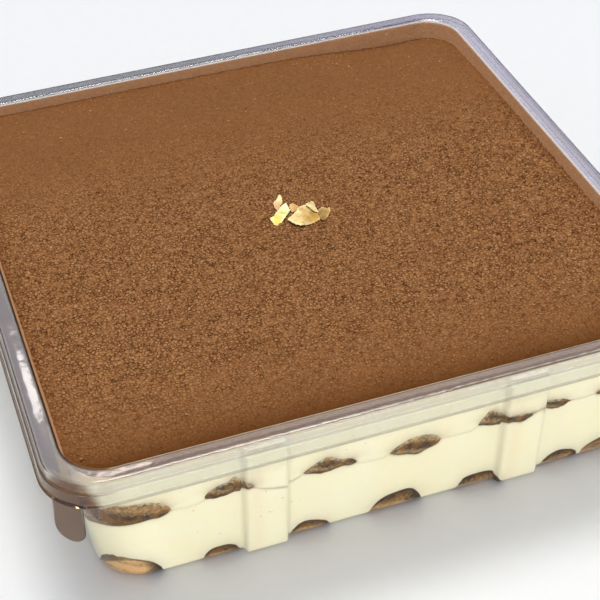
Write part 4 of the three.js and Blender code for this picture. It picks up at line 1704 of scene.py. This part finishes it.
@dataclass(frozen=True)
class CocoaTop:
    """The dusting of cocoa: a level bed with gentle swells, sunk near one corner and rough with grains."""

    shape: TubShape
    finish: SiftedCocoa = SiftedCocoa("sifted_cocoa")
    film_finish: CocoaFilmAndReflection = CocoaFilmAndReflection("cocoa_film_and_reflection")
    film_top: float = 45.7
    level: float = 42.8  # height of the bed's top in the middle
    underside: float = 41.5
    fall: float = 0.003  # for each mm towards +X
    hollow_x: float = 63.0
    hollow_y: float = 76.0
    hollow_depth: float = 2.0
    hollow_reach: float = 24.0
    # Swells: direction in degrees from +X, wave length, height and phase.
    swells: tuple[tuple[float, float, float, float], ...] = ((20, 110, 0.06, 0.7), (105, 130, 0.05, -0.5))
    reach: float = 0.25
    grain_height: float = 0.2  # mm that the grains rise over the bed
    count: int = 300  # points along each side of the bed
    clots: int = 7000

    def sunk(self, x: Number, y: Number) -> Number:
        """How far the food has sunk: a bell curve of the distance from the hollow's middle."""
        squared = ((x - self.hollow_x) ** 2 + (y - self.hollow_y) ** 2) / self.hollow_reach**2
        return self.hollow_depth * np.exp(-squared)

    def bed_height(self, x: Number, y: Number) -> Number:
        """Works out the bed's height without its grains: its level less the fall and the hollow, plus sines.

        Args:
            x: X coordinates.
            y: Y coordinates.

        Returns:
            Heights shaped like them.
        """
        height = self.level - self.fall * x - self.sunk(x, y)
        for direction, length, rise, phase in self.swells:
            heading = math.radians(direction)
            travel = x * math.cos(heading) + y * math.sin(heading)
            height = height + rise * np.sin(2 * math.pi * travel / length + phase)
        return height

    def spread(self, u: Array, v: Array, z: Number) -> tuple[Array, Array]:
        """Draws a square grid into the tub's rounded square.

        In a corner's zone a point moves along its ray from the corner's centre by the larger of its two
        offsets over its distance, so that the square's edge lands on the arc.

        Args:
            u: Places across, from -1 to 1.
            v: Places towards the back, from -1 to 1.
            z: Heights, which set the wall's distance.

        Returns:
            The points' x and y.
        """
        half, corner = self.shape.ring_at(z, self.reach)
        edge = half - corner
        x, y = u * half, v * half
        over_x, over_y = np.maximum(np.abs(x) - edge, 0.0), np.maximum(np.abs(y) - edge, 0.0)
        length = np.maximum(np.hypot(over_x, over_y), TINY)
        draw = np.maximum(over_x, over_y) / length
        draw = np.where((over_x > 0) & (over_y > 0), draw, 1.0)
        x = np.sign(x) * (np.minimum(np.abs(x), edge) + over_x * draw)
        y = np.sign(y) * (np.minimum(np.abs(y), edge) + over_y * draw)
        return x, y

    def wall_distance(self, x: Array, y: Array) -> Array:
        """Measures how far in from the wall places are, straight across or from the corner's arc.

        Args:
            x: X coordinates.
            y: Y coordinates.

        Returns:
            The distances.
        """
        half, corner = self.shape.ring_at(self.level, 0.0)
        edge = half - corner
        over = np.hypot(np.maximum(np.abs(x) - edge, 0.0), np.maximum(np.abs(y) - edge, 0.0))
        return np.where(over > 0, corner - over, half - np.maximum(np.abs(x), np.abs(y)))

    def relief(self, near_wall: Array) -> tuple[Array, Array]:
        """Makes the grains from two fields of fine bumps and one of coarse bumps. The first is taken as its
        distance from 0, which makes it sharp where the field passes 0 and round where it doesn't.

        Args:
            near_wall: How close each point is to the wall, from 0 to 1. Grains are coarser there.

        Returns:
            The relief in mm, and how much its tops are painted light, from 0 to 1.
        """
        spacing = 2 * self.shape.wall_half(self.level) / self.count
        shape = near_wall.shape
        fine = np.abs(grain(shape, spacing, 2.2, 11))
        middling = grain(shape, spacing, 2.2, 12)
        coarse = grain(shape, spacing, 5.0, 13)
        mixed = 0.9 * (fine - 0.8) + 0.3 * middling + 0.12 * coarse
        crown = 1.0 / (1.0 + np.exp(-1.3 * mixed))
        lumps = 0.5 * (crown - 0.5) + 0.07 * near_wall * (middling + coarse)
        return lumps, crown

    def damp(self, inwards: Array, y: Array) -> Array:
        """Works out how much the cocoa darkens: the darkening fades in from every wall, and further in from
        the front one.

        Args:
            inwards: Distances in from the wall.
            y: Y coordinates.

        Returns:
            Darkening from 0 upwards.
        """
        front = self.shape.wall_half(self.level) + y
        edge = 0.28 - 0.26 * smoothstep(10.0, 60.0, y)
        return edge * np.exp(-inwards / 2.2) + 0.8 * np.exp(-((np.maximum(front, 0.0) / 8.0) ** 1.5))

    def grit(self, y: Array) -> Array:
        """How strongly the finest grains stand out: the cocoa is sifted finer towards the back and the
        very front."""
        return 1.0 - 0.8 * smoothstep(5.0, 62.0, y) - 0.5 * smoothstep(-40.0, -76.0, y)

    def build(self) -> list[Object]:
        """Builds the bed, the loose clots on it and the film on the wall.

        The bed's top is a square grid drawn into the tub. From its edge rings go down the wall, and on
        under the bed to its middle.

        Returns:
            The three pieces.
        """
        line = np.linspace(-1.0, 1.0, self.count)
        u, v = np.meshgrid(line, line)
        x, y = self.spread(u, v, self.level)
        edge = smoothstep(7.0, 0.5, self.wall_distance(x, y))
        lumps, crown = self.relief(edge)
        grit = self.grit(y)
        z = self.bed_height(x, y) + lumps * (0.4 + 0.6 * grit)
        # How much each point is painted light, as light on the tops of the grains.
        crown = 0.32 + 0.27 * grit + (crown - 0.5) * (0.12 + 0.14 * grit)
        x, y = self.spread(u, v, z)
        skin = Skin()
        damp = self.damp(self.wall_distance(x, y), y)
        bed = skin.put(x, y, z, crown=crown, damp=damp, grit=grit)
        skin.cover(bed)
        border = (slice(0, 1), slice(None, -1)), (slice(None, -1), slice(-1, None))
        back = (slice(-1, None), slice(None, 0, -1)), (slice(None, 0, -1), slice(0, 1))
        loop, loop_u, loop_v = (
            np.concatenate([grid[part].ravel() for part in (*border, *back)]) for grid in (bed, u, v)
        )
        top = np.concatenate([z[part].ravel() for part in (*border, *back)])
        ragged = grain((1, len(loop)), 0.53, 4.0, 17)[0] * 0.12
        x_edge, y_edge = self.spread(loop_u, loop_v, self.underside)
        low = self.underside - self.sunk(x_edge, y_edge) + ragged
        share = np.array([0.35, 0.7, 1.0])[:, None]
        skirt_z = top + (low - top) * share
        skirt_x, skirt_y = self.spread(loop_u, loop_v, skirt_z)
        skirt = skin.put(skirt_x, skirt_y, skirt_z, crown=0.4, damp=0.9)
        shares = np.array([0.97, 0.8, 0.5])[:, None]
        under_x, under_y = skirt_x[-1] * shares, skirt_y[-1] * shares
        under_z = self.underside - 0.05 - self.sunk(under_x, under_y)
        under = skin.put(under_x, under_y, under_z, crown=0.3, damp=0.9)
        skin.cover(np.vstack([loop[None], skirt, under])[::-1], closed=True)
        skin.fan(under[-1], skin.put(0.0, 0.0, self.underside - 0.05).item(), turned=True)
        material = self.finish.material()
        made = settle(skin.piece("cocoa_bed", material), "cocoa", "cocoa_layer")
        return [made, settle(self.loose_clots(x, y, z, material), "cocoa"), self.wall_film()]

    def wall_film(self) -> Object:
        """Makes the film of powder that clings to the inner wall above the bed, which also paints the brown
        that the wall shows by reflection: a thin closed band.

        Its rows go up the wall from under the bed's edge and come down again a little further in. It thins
        out towards the top, and unevenly along the wall.

        Returns:
            The film.
        """
        zone = self.shape.rib_zone
        stations = WallStations.around(self.shape, np.linspace(-zone, zone, 90), 30, 14)
        wall_x, wall_y = stations.place(*self.shape.ring_at(self.level, 0.0), 0.0)
        low = self.bed_height(wall_x, wall_y) - 0.5
        share = np.linspace(0.0, 1.0, 11)[:, None]
        rise = low + (self.film_top - low) * share
        uneven = grain((len(share), len(low)), 1.0, 9.0, 23)
        cover = np.clip(1.12 - 0.2 * share**2 + 0.05 * uneven, 0.0, 1.0)
        z = np.vstack([rise, rise[::-1]])
        reach = np.where(np.arange(len(z)) < len(rise), -0.03, -0.09)[:, None]
        half, corner = self.shape.ring_at(z, reach)
        x, y = stations.place(half, corner, 0.0)
        skin = Skin()
        rings = skin.put(x, y, z, cover=np.vstack([cover, cover[::-1]]), packed=reach > -0.05)
        skin.cover(np.vstack([rings, rings[:1]]), closed=True)
        return settle(skin.piece("cocoa_wall_film_and_reflection", self.film_finish.material()), "cocoa")

    def loose_clots(self, x: Array, y: Array, z: Array, material: Material) -> Object:
        """Scatters loose clots of powder: icosahedra with uneven corners, sunk nearly halfway into the bed.

        Args:
            x: The bed's x coordinates, in a grid.
            y: Its y coordinates.
            z: Its heights.
            material: The cocoa's material.

        Returns:
            One object with all the clots.
        """
        draw = np.random.default_rng(41)
        golden = (1 + math.sqrt(5)) / 2
        corners = np.array([(s, t * golden) for s in (-1, 1) for t in (-1, 1)])
        upright = np.hstack([np.zeros((4, 1)), corners])
        corners = np.vstack([upright, upright[:, [1, 2, 0]], upright[:, [2, 0, 1]]])
        apart = np.linalg.norm(corners[:, None] - corners[None], axis=2)
        a, b, c = np.meshgrid(*[np.arange(12)] * 3, indexing="ij")
        faces = np.stack([a, b, c], axis=-1)[(a < b) & (b < c)]
        sides = np.stack([apart[faces[:, i], faces[:, (i + 1) % 3]] for i in range(3)], axis=1)
        faces = faces[(sides < 2.1).all(axis=1)]
        inward = (corners[faces[:, 0]] * np.cross(corners[faces[:, 1]], corners[faces[:, 2]])).sum(axis=1) < 0
        faces[inward] = faces[inward][:, ::-1]
        corners = corners / np.linalg.norm(corners[0])
        rows, columns = draw.integers(3, self.count - 3, (2, self.clots))
        size = 0.15 * np.exp(0.35 * draw.standard_normal(self.clots))
        squash = draw.uniform(0.75, 1.25, (self.clots, 1, 3)) * size[:, None, None]
        points = corners[None] * squash * draw.uniform(0.8, 1.2, (self.clots, 12, 1))
        centre = np.stack([x[rows, columns], y[rows, columns], z[rows, columns] + 0.1 * size], axis=1)
        points = points + centre[:, None]
        skin = Skin()
        # Clots are painted lighter by a random tone, as light on their tops.
        tone = draw.uniform(0.6, 1.3, (self.clots, 1))
        shades = {"crown": tone, "damp": self.damp(points[..., 1] + 500.0, points[..., 1]), "grit": 0.3}
        numbers = skin.put(points[..., 0], points[..., 1], points[..., 2], **shades)
        skin.faces[3].append(numbers[:, faces].reshape(-1, 3))
        return skin.piece("cocoa_clots", material)


# ---- Gold leaf ----


@dataclass(frozen=True)
class Flake:
    """One flake of gold leaf, with the flap that is folded over on it, if it has one."""

    node: str
    outline: tuple[Pair, ...]  # in plan
    crumple: float  # mm that its waves rise
    slope: float  # how steeply it rises towards the back
    gold: str
    pale: str
    # Creases: direction in degrees from +X, how far left of the flake's middle, and the slope either side.
    creases: tuple[tuple[float, float, float], ...]
    paler: tuple[float, float, float]  # painted light: how pale its middle is, and how much that grows by mm of x and y
    flap: tuple[Pair, ...] = ()


@dataclass(frozen=True)
class GoldLeaf:
    """The crumpled flakes of gold leaf in the middle of the cocoa."""

    cocoa: CocoaTop
    sheet: float = 0.12
    across: float = 1.3  # radians of wave for each mm
    back: float = 1.1
    clear: float = 0.12  # mm over the cocoa
    ragged: float = 0.07  # mm that the torn edge wanders
    flap_lift: float = 0.1  # mm between a flake and its flap, which opens by the rise below for each mm
    flap_rise: float = 0.12
    flakes: tuple[Flake, ...] = (
        Flake(
            "gold_leaf_large",
            (
                (6.6, 2.4), (4.7, 1.6), (2.7, 1.2), (1.0, -0.6), (-0.7, -1.8), (-2.2, -2.7), (-1.9, -3.7),
                (-1.1, -5.4), (0.1, -6.8), (1.9, -7.0), (4.3, -6.2), (6.2, -5.6), (7.1, -3.7), (6.9, -2.7),
                (6.8, 0.0), (7.0, 1.8),
            ),
            0.16, 0.05, "#C49A4A", "#FAE6AE", ((38.0, 0.2, 0.12), (80.0, 1.6, 0.1)), (0.2, -0.07, 0.02),
            flap=((6.6, 2.4), (4.4, 1.0), (4.9, -0.8), (5.6, -2.0), (6.9, -2.7), (6.8, -0.4), (7.0, 1.8)),
        ),
        Flake(
            "gold_leaf_tail",
            (
                (7.3, -1.5), (6.6, -2.6), (6.8, -4.0), (6.3, -6.0), (7.1, -6.6), (8.6, -5.2), (10.2, -3.1),
                (10.6, -1.2), (9.8, -2.0), (9.2, -1.5), (8.6, -0.6),
            ),
            0.12, 0.04, "#A27E40", "#E8C886", ((60.0, 0.3, 0.14),), (0.1, 0.12, 0.06),
        ),
        Flake(
            "gold_leaf_pale",
            (
                (0.1, 5.0), (-0.9, 4.5), (-2.3, 3.2), (-3.6, 1.6), (-4.9, 0.1), (-5.8, -1.3), (-6.5, -0.4),
                (-6.4, -1.9), (-6.2, -3.4), (-4.8, -3.9), (-3.6, -2.6), (-1.8, -1.1), (-0.1, 0.9), (0.0, 3.4),
            ),
            0.14, 0.08, "#E8CE62", "#FFFCCE", ((165.0, 0.4, 0.16),), (0.25, 0.03, 0.1),
        ),
        Flake(
            "gold_leaf_tip",
            (
                (-0.6, 9.0), (-2.0, 7.0), (-3.5, 5.5), (-3.7, 3.7), (-3.2, 2.4), (-2.0, 4.0), (-0.8, 5.4),
                (-0.3, 7.9),
            ),
            0.1, 0.02, "#D4A476", "#FFF2B4", ((20.0, 0.8, 0.18),), (0.15, 0.0, 0.2),
        ),
        Flake(
            "gold_leaf_small",
            ((0.5, 3.5), (-0.0, 1.4), (0.3, 0.1), (1.4, 0.4), (2.8, 1.6), (2.3, 3.0), (1.6, 4.0)),
            0.1, 0.06, "#CB9E58", "#F2D29C", ((110.0, 0.0, 0.12),), (0.1, -0.1, 0.1),
        ),
    )

    def height(self, flake: Flake, x: Array, y: Array, middle: Array) -> Array:
        """Height of a crumpled flake over its lowest part: waves across and along, a slope, and creases.

        A crease falls away on both sides by its slope times the square root of the squared distance plus
        0.1 squared, which rounds its ridge.

        Args:
            flake: The flake.
            x: X coordinates.
            y: Y coordinates.
            middle: The flake's middle in plan.

        Returns:
            Heights shaped like x.
        """
        raised = flake.crumple * np.sin(self.across * x) * np.cos(self.back * y)
        raised = raised + flake.slope * (y - middle[1])
        for direction, left, fall in flake.creases:
            heading = math.radians(direction)
            away = (y - middle[1]) * math.cos(heading) - (x - middle[0]) * math.sin(heading) - left
            raised = raised - fall * np.sqrt(away**2 + 0.01)
        return raised

    def torn(self, outline: tuple[Pair, ...], seed: int) -> tuple[Array, Array]:
        """Draws a torn outline and the rings inside it.

        The outline runs straight between its corners and wanders in and out from the middle by grain.

        Args:
            outline: Corners in plan.
            seed: Seed of the grain.

        Returns:
            The middle, and the rings' places from the middle outwards, as (ring, point, axis).
        """
        corners = np.array(outline)
        share = np.linspace(0.0, 1.0, 10, endpoint=False)[None, :, None]
        edge = corners[:, None] + (np.roll(corners, -1, axis=0) - corners)[:, None] * share
        edge = edge.reshape(-1, 2)
        middle = corners.mean(axis=0)
        outwards = (edge - middle) / np.linalg.norm(edge - middle, axis=1, keepdims=True)
        edge = edge + outwards * grain((1, len(edge)), 0.25, 1.2, seed)[0][:, None] * self.ragged
        rings = middle + (edge - middle) * np.linspace(0.0, 1.0, 15)[1:, None, None]
        return middle, rings

    def add_sheet(
        self, skin: Skin, middle: Array, rings: Array, heights: Array, paler: tuple
    ) -> None:
        """Adds a thin closed sheet with painted light: paler along its edge, where it curls up to the light,
        and rising across it.

        Args:
            skin: The flake's skin.
            middle: Its middle in plan.
            rings: Its rings' places.
            heights: Heights of the middle, then of the rings' points in order.
            paler: Painted light: how pale its middle is, and how much that grows for each mm of x and y.
        """
        share = np.linspace(0.0, 1.0, len(rings) + 1)[1:, None]
        light = paler[0] + (rings - middle) @ np.array(paler[1:]) + 0.3 * smoothstep(0.8, 1.0, share)
        faces = []
        for level, turned in ((0.0, False), (-self.sheet, True)):
            placed = heights[1:].reshape(rings.shape[:2]) + level
            numbers = skin.put(rings[..., 0], rings[..., 1], placed, light=light)
            centre = skin.put(*middle, heights[0] + level, light=paler[0]).item()
            skin.cover(numbers if turned else numbers[::-1], closed=True)
            skin.fan(numbers[0], centre, turned=turned)
            faces.append(numbers[-1])
        skin.cover(np.stack(faces), closed=True)

    def build(self) -> list[Object]:
        """Builds every flake as a thin closed sheet with a torn edge.

        Returns:
            The flakes.
        """
        made = []
        for number, flake in enumerate(self.flakes):
            middle, rings = self.torn(flake.outline, 60 + number)
            places = np.vstack([middle, rings.reshape(-1, 2)])
            upper = self.height(flake, places[:, 0], places[:, 1], middle)
            ground = self.cocoa.bed_height(places[:, 0], places[:, 1]) + self.cocoa.grain_height
            lift = np.quantile(ground - upper, 0.9) + self.clear + self.sheet
            skin = Skin()
            self.add_sheet(skin, middle, rings, upper + lift, flake.paler)
            if flake.flap:
                flap_middle, flap_rings = self.torn(flake.flap, 80 + number)
                places = np.vstack([flap_middle, flap_rings.reshape(-1, 2)])
                upper = self.height(flake, places[:, 0], places[:, 1], middle) + self.flap_lift + self.sheet
                opened = self.flap_rise * np.maximum(flap_middle[0] + 0.8 - places[:, 0], 0.0)
                # The flap is painted paler, as light falling on it.
                self.add_sheet(skin, flap_middle, flap_rings, upper + lift + opened, (0.45, 0.0, 0.0))
            material = BeatenGold(flake.node + "_metal", flake.gold, flake.pale).material()
            made.append(settle(skin.piece(flake.node + "_sheet", material), "gold_leaf", flake.node))
        return made


# ---- Studio ----


@dataclass(frozen=True)
class Studio:
    """A pale floor, soft lights and the camera."""

    floor_finish: MattBoard = MattBoard("matt_board")
    floor_half: float = 2500.0
    floor_drop: float = 0.05
    azimuth: float = -18.02  # degrees
    elevation: float = 39.29
    roll: float = -2.01
    distance: float = 451.83
    shift_right: float = 1.11  # of the camera from the line through the origin, in mm
    shift_up: float = 9.48
    lens: float = 92.884  # mm, on a sensor 36 mm wide
    sensor: float = 36.0
    # Far lights: name, heading clockwise from +Y and elevation in degrees, strength, angle in degrees.
    lights: tuple[tuple[str, float, float, float, float], ...] = (
        ("overhead_key", 21.0, 65.0, 1.72, 20.0),
        ("left_pane", 4.7, 41.4, 0.014, 2.6),
        ("right_pane", 8.5, 44.9, 0.007, 2.2),
    )
    key_colour: tuple[float, float, float] = (1.0, 0.978, 0.92)
    # The bounce card stands low before the tub and lights its front nearly level.
    card_middle: tuple[float, float, float] = (60.0, -480.0, 34.0)
    card_size: Pair = (1400.0, 56.0)
    card_power: float = 1.58
    card_colour: tuple[float, float, float] = (0.955, 0.975, 1.0)
    zenith: str = "#CCD0D8"
    horizon: str = "#36363A"
    dusk: float = 0.1  # how high the sky's darkest part reaches, as a sine of the elevation
    daylight: float = 0.6  # where its brightest part starts

    def floor(self) -> None:
        """Lays the floor a hair under the tub."""
        reach = np.array([-self.floor_half, self.floor_half])
        x, y = np.meshgrid(reach, reach)
        skin = Skin()
        skin.cover(skin.put(x, y, -self.floor_drop))
        floor = skin.piece("pale_floor", self.floor_finish.material())

    def direction(self, heading: float, elevation: float) -> Vector:
        """Unit vector towards a heading, clockwise from +Y, and an elevation, both in degrees."""
        turn, rise = math.radians(heading), math.radians(elevation)
        return Vector((math.sin(turn) * math.cos(rise), math.cos(turn) * math.cos(rise), math.sin(rise)))

    def soft_sun(self, name: str, heading: float, elevation: float, strength: float, angle: float) -> None:
        """Adds a wide, far light.

        Args:
            name: The light's name.
            heading: Where it stands, in degrees clockwise from +Y.
            elevation: How high it stands, in degrees.
            strength: Its strength.
            angle: How wide it is, in degrees.
        """
        light = bpy.data.lights.new(name, "SUN")
        light.energy = strength
        light.color = self.key_colour
        light.angle = math.radians(angle)
        lamp = bpy.data.objects.new(name, light)
        lamp.rotation_euler = self.direction(heading, elevation).to_track_quat("Z", "Y").to_euler()
        bpy.context.scene.collection.objects.link(lamp)

    def bounce_card(self) -> None:
        """Adds the low card, which faces the tub."""
        light = bpy.data.lights.new("bounce_card", "AREA")
        light.shape = "RECTANGLE"
        light.size, light.size_y = (size * MM for size in self.card_size)
        light.energy = self.card_power
        light.color = self.card_colour
        card = bpy.data.objects.new("bounce_card", light)
        card.location = Vector(self.card_middle) * MM
        card.rotation_euler = (math.radians(90.0), 0.0, 0.0)
        card.visible_camera = False
        bpy.context.scene.collection.objects.link(card)

    def sky(self) -> None:
        """Surrounds the scene with a sky that is bright overhead and dark towards the horizon."""
        world = bpy.data.worlds.new("studio_sky")
        world.use_nodes = True
        tree = world.node_tree
        tree.nodes.clear()
        way = add_node(tree, "TexCoord").outputs["Generated"]
        rise = add_node(tree, "SeparateXYZ", {0: way}).outputs["Z"]
        bright = {0: rise, 1: self.dusk, 2: self.daylight}
        share = add_node(tree, "MapRange", bright, interpolation_type="SMOOTHSTEP")
        light = {"Color": layered(tree, linear(self.horizon), [(share, self.zenith)])}
        add_node(tree, "OutputWorld", {"Surface": add_node(tree, "Background", light)})
        bpy.context.scene.world = world

    def camera(self) -> None:
        """Places the camera: back along its azimuth and elevation, shifted across, and rolled."""
        turn, rise, roll = (math.radians(a) for a in (self.azimuth, self.elevation, self.roll))
        back = Vector((math.sin(turn) * math.cos(rise), -math.cos(turn) * math.cos(rise), math.sin(rise)))
        level_right = Vector((math.cos(turn), math.sin(turn), 0.0))
        level_up = back.cross(level_right)
        right = math.cos(roll) * level_right + math.sin(roll) * level_up
        up = -math.sin(roll) * level_right + math.cos(roll) * level_up
        place = (back * self.distance + right * self.shift_right + up * self.shift_up) * MM
        data = bpy.data.cameras.new("portrait")
        data.lens, data.sensor_width = self.lens, self.sensor
        data.clip_start, data.clip_end = 0.01, 20.0
        camera = bpy.data.objects.new("portrait", data)
        camera.matrix_world = Matrix.Translation(place) @ Matrix((right, up, back)).transposed().to_4x4()
        bpy.context.scene.collection.objects.link(camera)
        bpy.context.scene.camera = camera

    def build(self) -> None:
        """Sets up the floor, the lights, the sky and the camera."""
        bpy.context.scene.view_settings.view_transform = "Standard"
        self.floor()
        for light in self.lights:
            self.soft_sun(*light)
        self.bounce_card()
        self.sky()
        self.camera()


def main() -> None:
    """Builds the dessert from the tub inwards and reports each piece, then builds the studio round it."""
    logging.basicConfig(level=logging.INFO, format="%(message)s")
    shape = TubShape.from_frame()
    rows = LadyfingerRows(shape)
    cocoa = CocoaTop(shape)
    for part in (ClearTub(shape), rows, CreamLayers(shape, rows.fingers, cocoa), cocoa, GoldLeaf(cocoa)):
        for piece in part.build():
            LOG.info("%s: %d faces", piece.name, len(piece.data.polygons))
    Studio().build()


if __name__ == "__main__":
    main()
